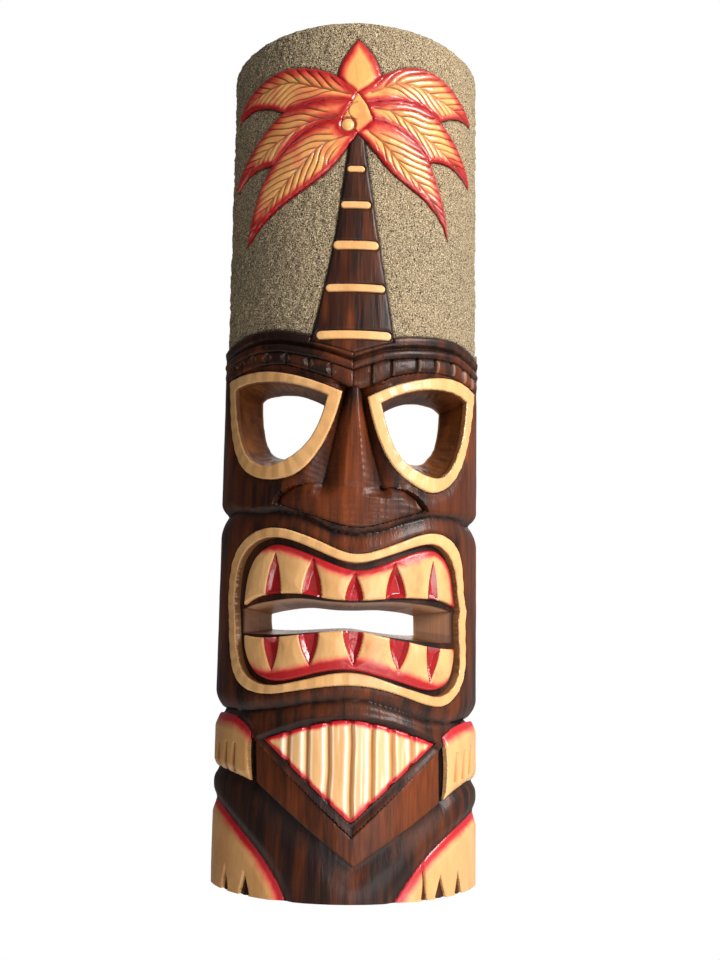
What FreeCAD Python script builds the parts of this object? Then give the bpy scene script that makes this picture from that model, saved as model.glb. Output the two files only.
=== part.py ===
import FreeCAD, Part
import math
import os

# Carved wooden tiki wall mask: one half-log carving with a sanded top,
# raised palm motif, eye and mouth openings, a hollowed back and a hanger.
# Millimetres. X to the viewer's right, front towards -Y, Z up.
# Origin on the flat back, centre line, bottom end.

HEIGHT = 500.0
LOG_RADIUS = 81.0
LOG_AXIS_Y = 23.0
HOLLOW_RADIUS = 60.0
BOTTOM_LAND = 40.0
TOP_LAND = 45.0

# Depths below the round log surface
COAT_FLOOR = 3.0
SAND_TOP = 1.4
PALM_TOP = 0.0
BAND_TOP = -0.4
BROW_TOP = 0.6
BROW_FLOOR = 5.0
RIM_TOP = 0.8
RIM_FLOOR = 3.4
MOUTH_FLOOR = 5.0
TEETH_TOP = 2.0
GUM_TOP = 3.8
NOSE_FLOOR = 9.0
SLOPE_FLOOR = 6.0
GROOVE_FLOOR = 3.5
FIGURE_FLOOR = 4.0
FIGURE_TOP = 0.3

# Hanger
STRAP_SHEET = 1.1
STRAP_WIDTH = 12.0
STRAP_HEIGHT = 26.0
RING_WIRE = 1.25
RING_CLEARANCE = 0.08
RING_RADIUS = 10.0
RING_Z = 463.0
HANGER_POCKET_Y = -6.5
HANGER_POCKET = (32.0, 36.0)
SCREW_RADIUS = 1.5
SCREW_HEAD = 3.4
SCREW_LENGTH = 15.0

os.makedirs("parts", exist_ok=True)
V = FreeCAD.Vector

# ---------------------------------------------------------------- outlines
# Each outline is a closed run of spans in (x, z): two points make a straight
# line, three or more a smooth curve. Each span starts where the last ended.

HEART_L = [(1.5, 456.0), (-1.5, 450.5)]
HEART_R = [(6.5, 449.5), (1.5, 456.0)]
BUD_L = [(1.5, 456.0), (-4.0, 460.5), (-10.0, 465.5)]
BUD_R = [(15.5, 467.0), (8.5, 461.0), (1.5, 456.0)]
UPPER_L = [(-1.5, 450.5), (-14.5, 452.0), (-29.0, 451.0), (-42.5, 449.5)]
UPPER_R = [(51.0, 448.5), (36.0, 453.5), (20.5, 452.5), (6.5, 449.5)]
MIDDLE_L = [(-7.5, 439.5), (-20.0, 438.0), (-31.5, 433.0), (-41.0, 425.5), (-48.0, 419.0)]
MIDDLE_R = [(44.5, 420.5), (37.0, 429.5), (27.5, 435.5), (19.5, 438.5), (11.0, 439.5)]
STEM_L = [(-7.5, 439.5), (2.0, 431.0)]
STEM_R = [(2.0, 431.0), (11.0, 439.5)]

BUD = [
    BUD_L,
    [(-10.0, 465.5), (-8.5, 473.5), (-4.0, 481.5), (1.0, 489.0)],
    [(1.0, 489.0), (6.5, 484.0), (12.0, 476.5), (15.5, 467.0)],
    BUD_R,
]
FROND_UPPER_LEFT = [
    BUD_L,
    [(-10.0, 465.5), (-20.0, 470.5), (-31.0, 474.0), (-45.0, 476.0), (-57.5, 474.0), (-67.0, 469.0), (-73.0, 461.0)],
    [(-73.0, 461.0), (-62.5, 460.5), (-52.0, 456.0), (-42.5, 449.5)],
    UPPER_L[::-1],
    HEART_L[::-1],
]
FROND_MIDDLE_LEFT = [
    UPPER_L,
    [(-42.5, 449.5), (-53.0, 442.0), (-62.5, 433.0), (-69.0, 424.5), (-72.5, 415.5)],
    [(-72.5, 415.5), (-65.0, 419.5), (-57.0, 420.5), (-48.0, 419.0)],
    MIDDLE_L[::-1],
    [(-7.5, 439.5), (-1.5, 450.5)],
]
FROND_LOWER_LEFT = [
    MIDDLE_L,
    [(-48.0, 419.0), (-54.5, 409.5), (-60.0, 394.5), (-64.5, 375.5)],
    [(-64.5, 375.5), (-54.0, 385.5), (-40.5, 394.0), (-26.5, 401.5), (-13.5, 411.0), (-5.0, 421.5), (2.0, 431.0)],
    STEM_L[::-1],
]
FROND_UPPER_RIGHT = [
    HEART_R[::-1],
    UPPER_R[::-1],
    [(51.0, 448.5), (58.5, 454.5), (66.0, 458.5), (72.0, 460.0)],
    [(72.0, 460.0), (66.0, 467.5), (57.0, 474.0), (45.5, 477.0), (34.0, 476.0), (25.0, 472.5), (15.5, 467.0)],
    BUD_R,
]
FROND_MIDDLE_RIGHT = [
    UPPER_R,
    [(6.5, 449.5), (11.0, 439.5)],
    MIDDLE_R[::-1],
    [(44.5, 420.5), (54.5, 424.0), (62.5, 423.5), (71.0, 418.5)],
    [(71.0, 418.5), (66.0, 432.0), (59.0, 441.5), (51.0, 448.5)],
]
FROND_LOWER_RIGHT = [
    MIDDLE_R,
    STEM_R[::-1],
    [(2.0, 431.0), (8.0, 425.5), (16.0, 416.0), (26.5, 406.5), (38.5, 399.5), (49.5, 391.0), (57.0, 377.5)],
    [(57.0, 377.5), (54.0, 394.0), (49.5, 409.0), (44.5, 420.5)],
]
CROWN_HEART = [
    HEART_L,
    [(-1.5, 450.5), (-7.5, 439.5)],
    STEM_L,
    STEM_R,
    [(11.0, 439.5), (6.5, 449.5)],
    HEART_R,
]
PALM_TRUNK = [
    [(-2.5, 432.0), (-3.4, 420.0), (-6.0, 399.0), (-10.5, 366.5), (-16.5, 337.0), (-23.5, 308.0)],
    [(-23.5, 308.0), (1.5, 300.5)],
    [(1.5, 300.5), (24.5, 308.0)],
    [(24.5, 308.0), (19.5, 341.0), (15.0, 367.0), (9.5, 402.5), (6.6, 421.0), (6.0, 432.0)],
    [(6.0, 432.0), (-2.5, 432.0)],
]
# Trunk bands: middle x, middle z, half length, half height
TRUNK_BANDS = [
    (1.3, 409.3, 5.3, 2.0),
    (1.5, 387.8, 8.8, 2.3),
    (2.0, 363.8, 13.2, 2.7),
    (2.0, 338.6, 17.2, 2.4),
    (1.5, 311.2, 21.6, 2.6),
]
COCONUT = (-4.0, 436.0, 4.1)

SAND_LEFT = [(-90.0, 316.0), (-77.0, 317.5), (-54.5, 318.5), (-41.0, 316.5), (-29.0, 313.0), (-14.5, 308.8), (1.5, 303.0)]
SAND_RIGHT = [(1.5, 303.0), (19.0, 309.5), (33.5, 312.5), (48.5, 315.0), (63.0, 316.5), (77.5, 313.5), (90.0, 309.0)]
BROW_LOW_LEFT = [(1.5, 280.5), (-11.0, 286.0), (-24.0, 291.0), (-38.0, 296.0), (-54.0, 298.0), (-71.0, 297.5), (-90.0, 297.0)]
BROW_LOW_RIGHT = [(90.0, 293.0), (73.0, 294.0), (60.0, 295.5), (38.5, 292.5), (24.0, 288.0), (12.0, 282.5), (1.5, 280.5)]
BROW_LEFT = [
    SAND_LEFT,
    [(1.5, 303.0), (1.5, 280.5)],
    BROW_LOW_LEFT,
    [(-90.0, 297.0), (-90.0, 316.0)],
]
BROW_RIGHT = [
    SAND_RIGHT,
    [(90.0, 309.0), (90.0, 293.0)],
    BROW_LOW_RIGHT,
    [(1.5, 280.5), (1.5, 303.0)],
]
# Carved line between the two brow ridges
BROW_LINE_LEFT = [
    [(-90.0, 313.5), (-54.5, 314.0), (-40.5, 312.0), (-29.0, 308.5), (-14.0, 303.0), (1.5, 294.0)],
    [(1.5, 294.0), (1.5, 291.0)],
    [(1.5, 291.0), (-17.5, 301.0), (-29.0, 305.5), (-41.0, 308.5), (-54.5, 310.5), (-90.0, 310.0)],
    [(-90.0, 310.0), (-90.0, 313.5)],
]
BROW_LINE_RIGHT = [
    [(1.5, 294.0), (19.0, 304.5), (33.5, 308.5), (46.5, 310.5), (62.0, 312.0), (78.0, 309.0), (90.0, 306.0)],
    [(90.0, 306.0), (90.0, 303.0)],
    [(90.0, 303.0), (77.5, 306.0), (59.0, 309.5), (46.5, 308.0), (33.5, 305.5), (20.0, 302.0), (1.5, 291.0)],
    [(1.5, 291.0), (1.5, 294.0)],
]
# Notches between the carved beads under the brow: x, middle z
BEAD_NOTCHES_LEFT = [(-10.7, 288.5), (-23.7, 294.0), (-37.2, 299.0), (-48.7, 301.0), (-58.2, 302.0), (-65.7, 302.5), (-71.2, 302.5)]
BEAD_NOTCHES_RIGHT = [(12.0, 285.5), (23.5, 291.5), (38.5, 296.0), (49.5, 299.0), (59.7, 300.5), (67.5, 300.5), (73.0, 299.0)]
BEAD_NOTCH = (1.6, 10.0, 3.4)

EYE_LEFT_OUTER = [
    [(-74.5, 296.5), (-63.5, 296.0), (-51.5, 294.5), (-39.0, 291.5), (-25.5, 287.0), (-14.0, 282.5), (-4.5, 278.5)],
    [(-4.5, 278.5), (-8.0, 265.5), (-13.5, 252.0), (-21.0, 240.5), (-30.0, 233.0), (-40.0, 230.5), (-52.0, 232.0),
     (-62.0, 238.5), (-68.5, 251.0), (-72.5, 272.0), (-74.5, 296.5)],
]
EYE_LEFT_INNER = [
    [(-71.0, 291.7), (-59.0, 291.5), (-47.5, 289.0), (-35.5, 285.4), (-23.5, 280.7), (-12.5, 275.5)],
    [(-12.5, 275.5), (-16.5, 262.0), (-22.5, 249.7), (-31.0, 240.8), (-40.0, 236.3), (-51.0, 237.2), (-61.0, 244.5),
     (-66.5, 258.0), (-70.0, 275.0), (-71.0, 291.7)],
]
EYE_RIGHT_OUTER = [
    [(10.0, 275.5), (19.5, 280.5), (31.0, 285.5), (42.5, 289.5), (54.5, 293.0), (66.0, 294.0), (76.0, 292.0)],
    [(76.0, 292.0), (74.0, 275.0), (70.5, 256.0), (64.5, 238.5), (57.0, 228.5), (48.5, 224.5), (38.0, 227.5),
     (27.0, 235.0), (19.0, 247.0), (13.5, 261.5), (10.0, 275.5)],
]
EYE_RIGHT_INNER = [
    [(17.5, 272.0), (27.0, 278.0), (36.5, 282.7), (47.0, 286.4), (58.0, 288.5), (72.0, 287.3)],
    [(72.0, 287.3), (70.2, 269.0), (66.0, 251.0), (58.8, 236.0), (48.8, 229.8), (38.6, 231.5), (29.0, 239.5),
     (22.2, 254.0), (17.5, 272.0)],
]
# Middle of each eye opening, and how much smaller it is at the hollow
EYE_LEFT_MIDDLE = (-42.0, 262.0)
EYE_RIGHT_MIDDLE = (44.0, 260.0)
EYE_TAPER = 0.78

NOSE_BRIDGE = [
    [(-1.5, 284.0), (7.0, 282.5)],
    [(7.0, 282.5), (9.5, 267.5), (14.0, 248.0), (20.5, 224.0)],
    [(20.5, 224.0), (-16.0, 226.0)],
    [(-16.0, 226.0), (-10.5, 247.5), (-6.5, 265.0), (-1.5, 284.0)],
]
NOSE_WINGS = [
    [(-16.0, 227.5), (20.5, 225.0)],
    [(20.5, 225.0), (30.0, 225.0), (39.0, 221.0), (45.5, 213.5)],
    [(45.5, 213.5), (31.5, 209.0), (17.5, 204.0), (4.5, 202.0), (-10.0, 205.0), (-24.0, 210.0), (-43.0, 216.5)],
    [(-43.0, 216.5), (-39.0, 222.5), (-29.0, 226.5), (-16.0, 227.5)],
]
NOSE_RIDGE_X = 3.0
NOSE_RIDGE_HALF = 4.5
SLOPE_LEFT = [
    [(-7.5, 262.0), (-12.5, 251.5), (-20.0, 239.5), (-28.5, 232.0)],
    [(-28.5, 232.0), (-29.5, 224.5)],
    [(-29.5, 224.5), (-14.5, 224.5)],
    [(-14.5, 224.5), (-5.5, 262.0)],
    [(-5.5, 262.0), (-7.5, 262.0)],
]
SLOPE_RIGHT = [
    [(8.0, 267.0), (19.0, 222.5)],
    [(19.0, 222.5), (34.0, 222.5)],
    [(34.0, 222.5), (36.0, 226.8)],
    [(36.0, 226.8), (26.3, 234.0), (18.0, 246.5), (12.3, 261.5), (11.0, 267.0)],
    [(11.0, 267.0), (8.0, 267.0)],
]
CHEEK_LINE = [
    [(-90.0, 219.0), (-50.5, 216.0), (-35.5, 213.5), (-21.0, 207.0), (4.5, 200.5), (20.5, 204.0), (34.5, 210.0),
     (53.0, 213.5), (90.0, 212.5)],
    [(90.0, 212.5), (90.0, 209.5)],
    [(90.0, 209.5), (61.5, 211.0), (47.5, 208.5), (34.5, 203.0), (20.5, 196.5), (4.5, 194.0), (-9.5, 198.0),
     (-26.5, 206.5), (-41.0, 210.5), (-56.5, 210.5), (-90.0, 212.5)],
    [(-90.0, 212.5), (-90.0, 219.0)],
]
CHIN_LINE = [
    [(-90.0, 102.5), (-56.5, 103.5), (-38.5, 105.5), (-19.0, 108.5), (0.0, 110.0), (16.5, 109.0), (33.0, 104.0),
     (47.0, 99.0), (62.0, 97.0), (90.0, 99.0)],
    [(90.0, 99.0), (90.0, 96.0)],
    [(90.0, 96.0), (56.5, 92.5), (41.5, 95.0), (27.5, 100.0), (11.0, 103.5), (-5.0, 104.0), (-21.5, 102.0),
     (-35.5, 98.0), (-54.0, 96.0), (-90.0, 99.5)],
    [(-90.0, 99.5), (-90.0, 102.5)],
]

MOUTH_OUTER = [
    [(-70.5, 160.5), (-69.5, 178.0), (-64.5, 193.0), (-54.0, 201.0), (-41.5, 202.5), (-28.0, 199.0), (-12.5, 192.5),
     (3.5, 187.0), (20.5, 190.5), (33.5, 196.0), (43.5, 200.0), (54.0, 201.0), (62.5, 196.5), (67.5, 182.5),
     (70.5, 159.5)],
    [(70.5, 159.5), (70.0, 133.5), (66.0, 113.5), (56.5, 104.5), (44.0, 105.5), (29.0, 110.5), (14.5, 114.0),
     (0.0, 115.0), (-16.5, 113.5), (-33.0, 111.0), (-48.5, 110.0), (-60.5, 114.5), (-67.5, 129.5), (-70.5, 160.5)],
]
MOUTH_INNER = [
    [(-66.0, 160.0), (-65.0, 175.5), (-61.0, 188.0), (-52.0, 195.5), (-41.0, 197.0), (-28.0, 193.5), (-14.0, 187.5),
     (3.5, 182.0), (20.5, 185.5), (33.5, 190.5), (43.5, 194.0), (51.5, 194.5), (58.5, 189.5), (63.5, 176.0),
     (66.0, 158.0)],
    [(66.0, 158.0), (66.0, 133.0), (62.5, 116.0), (54.5, 110.0), (42.5, 111.5), (27.5, 116.0), (13.5, 120.5),
     (-1.5, 122.0), (-16.5, 119.5), (-32.0, 116.0), (-46.5, 115.0), (-57.0, 120.0), (-63.0, 133.0), (-66.0, 160.0)],
]
TEETH_EDGE_UPPER = [(64.0, 160.5), (56.0, 163.5), (43.5, 164.0), (29.5, 163.5), (15.5, 162.0), (2.0, 161.5),
                    (-12.0, 162.5), (-25.5, 165.0), (-40.0, 165.5), (-51.5, 164.5), (-61.0, 160.0)]
TEETH_UPPER = [
    [(-61.0, 160.0), (-59.0, 175.5), (-53.0, 188.0), (-43.5, 193.0), (-32.0, 191.0), (-18.0, 185.5), (-4.0, 180.0),
     (6.0, 178.0), (18.0, 180.5), (32.0, 186.5), (43.0, 190.5), (51.5, 191.0), (58.0, 186.0), (62.0, 174.0),
     (64.0, 160.5)],
    TEETH_EDGE_UPPER,
]
TEETH_EDGE_LOWER = [(-60.5, 142.5), (-50.0, 141.0), (-36.5, 141.5), (-22.5, 143.0), (-6.0, 144.5), (7.5, 144.5),
                    (21.5, 142.0), (35.0, 139.5), (49.5, 137.0), (64.0, 136.5)]
TEETH_LOWER = [
    TEETH_EDGE_LOWER,
    [(64.0, 136.5), (62.5, 125.5), (58.5, 116.5), (49.5, 113.0), (36.5, 115.5), (21.5, 119.5), (5.0, 123.0),
     (-11.0, 122.5), (-26.5, 119.0), (-40.5, 117.0), (-52.5, 121.5), (-58.5, 131.0), (-60.5, 142.5)],
]
# Red notches between the teeth: foot left, tip, foot right
GUMS_UPPER = [
    ((-47.5, 160.0), (-41.8, 188.0), (-38.5, 160.0)),
    ((-25.5, 160.0), (-19.5, 184.0), (-14.5, 160.0)),
    ((-1.0, 157.0), (4.5, 176.0), (9.5, 157.0)),
    ((22.5, 159.0), (27.5, 182.0), (34.0, 159.0)),
    ((47.2, 160.0), (50.0, 185.0), (52.8, 160.0)),
]
GUMS_LOWER = [
    ((-39.0, 146.0), (-42.5, 123.0), (-48.0, 146.0)),
    ((-16.0, 148.0), (-20.5, 126.0), (-27.5, 148.0)),
    ((9.5, 149.0), (4.5, 127.0), (-2.0, 149.0)),
    ((36.5, 144.0), (30.0, 123.5), (25.0, 144.0)),
    ((55.5, 142.0), (48.5, 118.0), (47.5, 142.0)),
]
# How much of its foot width a notch still has near its middle
NOTCH_SWELL = 0.86
SLOT_FRONT = [
    TEETH_EDGE_LOWER,
    [(64.0, 136.5), (64.0, 160.5)],
    TEETH_EDGE_UPPER,
    [(-61.0, 160.0), (-60.5, 142.5)],
]
# Opening of the mouth slot at the hollow
SLOT_BACK = [
    [(-41.0, 145.0), (-4.0, 144.5), (34.5, 142.0)],
    [(34.5, 142.0), (34.5, 156.0)],
    [(34.5, 156.0), (-3.0, 157.5), (-41.0, 156.5)],
    [(-41.0, 156.5), (-41.0, 145.0)],
]

HAND_LEFT = [
    [(-90.0, 97.5), (-76.0, 98.0), (-64.5, 96.5), (-58.0, 92.5), (-54.5, 88.5)],
    [(-54.5, 88.5), (-55.0, 75.5), (-53.5, 62.0)],
    [(-53.5, 62.0), (-64.5, 65.0), (-78.5, 67.0), (-90.0, 66.5)],
    [(-90.0, 66.5), (-90.0, 97.5)],
]
HAND_RIGHT = [
    [(57.0, 87.0), (63.5, 91.5), (72.5, 94.5), (90.0, 97.0)],
    [(90.0, 97.0), (90.0, 62.0)],
    [(90.0, 62.0), (73.5, 61.0), (64.5, 57.0), (57.5, 52.5)],
    [(57.5, 52.5), (58.5, 70.0), (57.0, 87.0)],
]
FINGER_GROOVES = [(-74.5, 73.0), (-69.0, 74.0), (-63.5, 74.0), (64.0, 70.0), (69.0, 71.0), (73.5, 73.0)]
FINGER_GROOVE = (1.8, 17.0, 2.6)
APRON = [
    [(-45.0, 85.0), (-34.0, 89.0), (-17.5, 93.5), (1.0, 96.5), (17.0, 94.5), (33.5, 90.0), (50.5, 83.5)],
    [(50.5, 83.5), (4.0, 41.5)],
    [(4.0, 41.5), (-45.0, 85.0)],
]
APRON_FLUTES = [-32.0, -21.0, -9.0, 3.5, 15.0, 26.0, 37.5]
FLUTE_RADIUS = 5.0
BELT = [
    [(-51.5, 85.0), (4.5, 34.5)],
    [(4.5, 34.5), (54.5, 80.5)],
    [(54.5, 80.5), (55.0, 50.5)],
    [(55.0, 50.5), (6.0, 19.0)],
    [(6.0, 19.0), (-50.5, 61.5)],
    [(-50.5, 61.5), (-51.5, 85.0)],
]
FOOT_LEFT = [
    [(-90.0, 53.0), (-75.5, 47.5), (-62.5, 37.5), (-47.0, 23.5), (-37.5, 11.5), (-31.5, 0.0)],
    [(-31.5, 0.0), (-90.0, 0.0)],
    [(-90.0, 0.0), (-90.0, 53.0)],
]
FOOT_RIGHT = [
    [(28.5, 0.0), (35.5, 9.5), (45.0, 20.5), (60.5, 33.0), (75.0, 41.5), (90.0, 48.0)],
    [(90.0, 48.0), (90.0, 0.0)],
    [(90.0, 0.0), (28.5, 0.0)],
]
# Notches between the toes: foot left, top, foot right
TOE_NOTCHES = [
    ((-58.0, -1.0), (-54.5, 12.0), (-51.0, -1.0)),
    ((-69.5, -1.0), (-67.0, 13.0), (-64.5, -1.0)),
    ((43.3, -1.0), (45.0, 15.0), (46.7, -1.0)),
    ((51.0, -1.0), (54.5, 12.0), (58.0, -1.0)),
    ((63.0, -1.0), (65.5, 13.0), (68.0, -1.0)),
]


# ---------------------------------------------------------------- helpers
def span_edge(points):
    if len(points) == 2:
        return Part.makeLine(points[0], points[1])
    curve = Part.BSplineCurve()
    curve.interpolate(points)
    return curve.toShape()


def wire_at(spans, place):
    edges = []
    for span in spans:
        edges.append(span_edge([place(x, z) for x, z in span]))
    return Part.Wire(edges)


def prism(spans):
    wire = wire_at(spans, lambda x, z: V(x, -95.0, z))
    return Part.Face(wire).extrude(V(0, 95.0, 0))


def log(depth):
    radius = LOG_RADIUS - depth
    round_log = Part.makeCylinder(radius, HEIGHT, V(0, LOG_AXIS_Y, 0))
    front_half = Part.makeBox(200, 100, HEIGHT, V(-100, -100, 0))
    return round_log.common(front_half)


def layer(top, floor):
    return log(top).cut(log(floor))


def plate(spans, top, floor):
    return prism(spans).common(layer(top, floor))


def cutter(spans, floor):
    return prism(spans).cut(log(floor))


def triangle(points):
    corners = list(points) + [points[0]]
    spans = [[corners[i], corners[i + 1]] for i in range(3)]
    return prism(spans)


def leaf(points):
    # A pointed notch whose two sides swell outwards
    left, tip, right = points
    middle = (left[0] + right[0]) / 2.0
    swell_z = left[1] + (tip[1] - left[1]) * 0.45
    swell_x = tip[0] * 0.45 + middle * 0.55

    def side(foot):
        return (swell_x + (foot[0] - middle) * NOTCH_SWELL, swell_z)

    spans = [[left, side(left), tip], [tip, side(right), right], [right, left]]
    return prism(spans)


def groove(x, z, size, surface_depth):
    width, height, depth = size
    reach = math.hypot(x, LOG_RADIUS) + 5.0
    radius = LOG_RADIUS - surface_depth - depth
    slope = math.degrees(math.asin(x / LOG_RADIUS))
    box = Part.makeBox(width, reach, height, V(-width / 2.0, -radius - reach, -height / 2.0))
    box.rotate(V(0, 0, 0), V(0, 0, 1), slope)
    box.translate(V(0, LOG_AXIS_Y, z))
    return box


def stretch(x, z, y_plane):
    surface = LOG_AXIS_Y - math.sqrt(LOG_RADIUS ** 2 - x ** 2)
    factor = (LOG_AXIS_Y - y_plane) / (LOG_AXIS_Y - surface)
    return V(x * factor, y_plane, z)


def outward(solid):
    if solid.Volume < 0:
        solid.reverse()
    return solid


def tapered_hole(front, middle, taper):
    # A hole whose walls close in towards the log's axis
    front_plane = -70.0
    back_plane = -2.0

    def at_front(x, z):
        return stretch(x, z, front_plane)

    def at_back(x, z):
        back_x = middle[0] + (x - middle[0]) * taper
        back_z = middle[1] + (z - middle[1]) * taper
        return stretch(back_x, back_z, back_plane)

    return outward(Part.makeLoft([wire_at(front, at_front), wire_at(front, at_back)], True, True))


def rounded_bar(x, z, half_length, half_height):
    left = x - half_length + half_height
    right = x + half_length - half_height
    y = -95.0
    edges = [
        Part.makeLine(V(left, y, z - half_height), V(right, y, z - half_height)),
        Part.Arc(V(right, y, z - half_height), V(x + half_length, y, z), V(right, y, z + half_height)).toShape(),
        Part.makeLine(V(right, y, z + half_height), V(left, y, z + half_height)),
        Part.Arc(V(left, y, z + half_height), V(x - half_length, y, z), V(left, y, z - half_height)).toShape(),
    ]
    return Part.Face(Part.Wire(edges)).extrude(V(0, 95.0, 0))


def cut_all(shape, tools):
    for tool in tools:
        shape = shape.cut(tool)
    return shape


parts = {}

# ---------------------------------------------------------------- palm motif
parts["frond_bud"] = plate(BUD, PALM_TOP, COAT_FLOOR)
parts["frond_upper_left"] = plate(FROND_UPPER_LEFT, PALM_TOP, COAT_FLOOR)
parts["frond_middle_left"] = plate(FROND_MIDDLE_LEFT, PALM_TOP, COAT_FLOOR)
parts["frond_lower_left"] = plate(FROND_LOWER_LEFT, PALM_TOP, COAT_FLOOR)
parts["frond_upper_right"] = plate(FROND_UPPER_RIGHT, PALM_TOP, COAT_FLOOR)
parts["frond_middle_right"] = plate(FROND_MIDDLE_RIGHT, PALM_TOP, COAT_FLOOR)
parts["frond_lower_right"] = plate(FROND_LOWER_RIGHT, PALM_TOP, COAT_FLOOR)
palm_prisms = [BUD, FROND_UPPER_LEFT, FROND_MIDDLE_LEFT, FROND_LOWER_LEFT, FROND_UPPER_RIGHT,
               FROND_MIDDLE_RIGHT, FROND_LOWER_RIGHT, CROWN_HEART, PALM_TRUNK]

nut_x, nut_z, nut_radius = COCONUT
nut = Part.makeCylinder(nut_radius, 60.0, V(nut_x, -95.0, nut_z), V(0, 1, 0))
parts["coconut"] = nut.common(layer(BAND_TOP, COAT_FLOOR))
parts["crown_heart"] = plate(CROWN_HEART, PALM_TOP, COAT_FLOOR).cut(nut)
for name in ("frond_middle_left", "frond_lower_left"):
    parts[name] = parts[name].cut(nut)

trunk = plate(PALM_TRUNK, PALM_TOP, COAT_FLOOR)
for outline in (CROWN_HEART, FROND_LOWER_LEFT, FROND_LOWER_RIGHT):
    trunk = trunk.cut(prism(outline))
for index, band in enumerate(TRUNK_BANDS):
    bar = rounded_bar(*band)
    parts["trunk_band_%d" % (index + 1)] = bar.common(layer(BAND_TOP, COAT_FLOOR))
    trunk = trunk.cut(bar)
parts["palm_trunk"] = trunk

# ---------------------------------------------------------------- sand coat
SAND_ZONE = [
    SAND_LEFT,
    SAND_RIGHT,
    [(90.0, 309.0), (90.0, HEIGHT)],
    [(90.0, HEIGHT), (-90.0, HEIGHT)],
    [(-90.0, HEIGHT), (-90.0, 316.0)],
]
sand = plate(SAND_ZONE, SAND_TOP, COAT_FLOOR)
for outline in palm_prisms:
    sand = sand.cut(prism(outline))
for band in TRUNK_BANDS:
    sand = sand.cut(rounded_bar(*band))
parts["sand_coat"] = sand.cut(nut)

# ---------------------------------------------------------------- brow
trunk_foot = prism(PALM_TRUNK).fuse(rounded_bar(*TRUNK_BANDS[4]))
brows = (
    ("brow_left", BROW_LEFT, BROW_LINE_LEFT, BEAD_NOTCHES_LEFT),
    ("brow_right", BROW_RIGHT, BROW_LINE_RIGHT, BEAD_NOTCHES_RIGHT),
)
for name, outline, line, notches in brows:
    brow = plate(outline, BROW_TOP, BROW_FLOOR).cut(trunk_foot)
    brow = brow.cut(cutter(line, BROW_TOP + 1.6))
    for x, z in notches:
        brow = brow.cut(groove(x, z, BEAD_NOTCH, BROW_TOP))
    parts[name] = brow

# ---------------------------------------------------------------- eyes
eye_holes = [
    tapered_hole(EYE_LEFT_INNER, EYE_LEFT_MIDDLE, EYE_TAPER),
    tapered_hole(EYE_RIGHT_INNER, EYE_RIGHT_MIDDLE, EYE_TAPER),
]
parts["eye_rim_left"] = plate(EYE_LEFT_OUTER, RIM_TOP, RIM_FLOOR).cut(eye_holes[0])
parts["eye_rim_right"] = plate(EYE_RIGHT_OUTER, RIM_TOP, RIM_FLOOR).cut(eye_holes[1])
for side in ("left", "right"):
    rim = prism(EYE_LEFT_OUTER if side == "left" else EYE_RIGHT_OUTER)
    parts["brow_" + side] = parts["brow_" + side].cut(rim)

# ---------------------------------------------------------------- nose
half = NOSE_RIDGE_HALF
front_y = LOG_AXIS_Y - LOG_RADIUS
roof = Part.makePolygon([
    V(NOSE_RIDGE_X - half, front_y, 190), V(NOSE_RIDGE_X + half, front_y, 190),
    V(NOSE_RIDGE_X + 22.0, front_y + 11.0, 190), V(NOSE_RIDGE_X + 22.0, front_y + 30.0, 190),
    V(NOSE_RIDGE_X - 22.0, front_y + 30.0, 190), V(NOSE_RIDGE_X - 22.0, front_y + 11.0, 190),
    V(NOSE_RIDGE_X - half, front_y, 190)])
roof = Part.Face(roof).extrude(V(0, 0, 110))
bridge = plate(NOSE_BRIDGE, 0.0, NOSE_FLOOR).common(roof)
wings = plate(NOSE_WINGS, 0.0, NOSE_FLOOR)
nose = bridge.fuse(wings).removeSplitter()
for side in ("left", "right"):
    nose = nose.cut(prism(BROW_LEFT if side == "left" else BROW_RIGHT))
    nose = nose.cut(prism(EYE_LEFT_OUTER if side == "left" else EYE_RIGHT_OUTER))
parts["nose"] = nose

# ---------------------------------------------------------------- mouth
slot_front = wire_at(SLOT_FRONT, lambda x, z: stretch(x, z, -70.0))
slot_back_y = LOG_AXIS_Y - HOLLOW_RADIUS + 35.0
slot_back = wire_at(SLOT_BACK, lambda x, z: stretch(x * 1.28, z, slot_back_y))
mouth_slot = outward(Part.makeLoft([slot_front, slot_back], True, True))
parts["mouth_rim"] = plate(MOUTH_OUTER, RIM_TOP, RIM_FLOOR).cut(prism(MOUTH_INNER))
for name, outline, gums in (("upper", TEETH_UPPER, GUMS_UPPER), ("lower", TEETH_LOWER, GUMS_LOWER)):
    teeth_prism = prism(outline)
    teeth = teeth_prism.common(layer(TEETH_TOP, MOUTH_FLOOR))
    wedges = [leaf(points) for points in gums]
    inside = teeth_prism.common(layer(GUM_TOP, MOUTH_FLOOR))
    parts["teeth_" + name] = cut_all(teeth, wedges)
    parts["gum_" + name] = Part.makeCompound([inside.common(wedge) for wedge in wedges])

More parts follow.
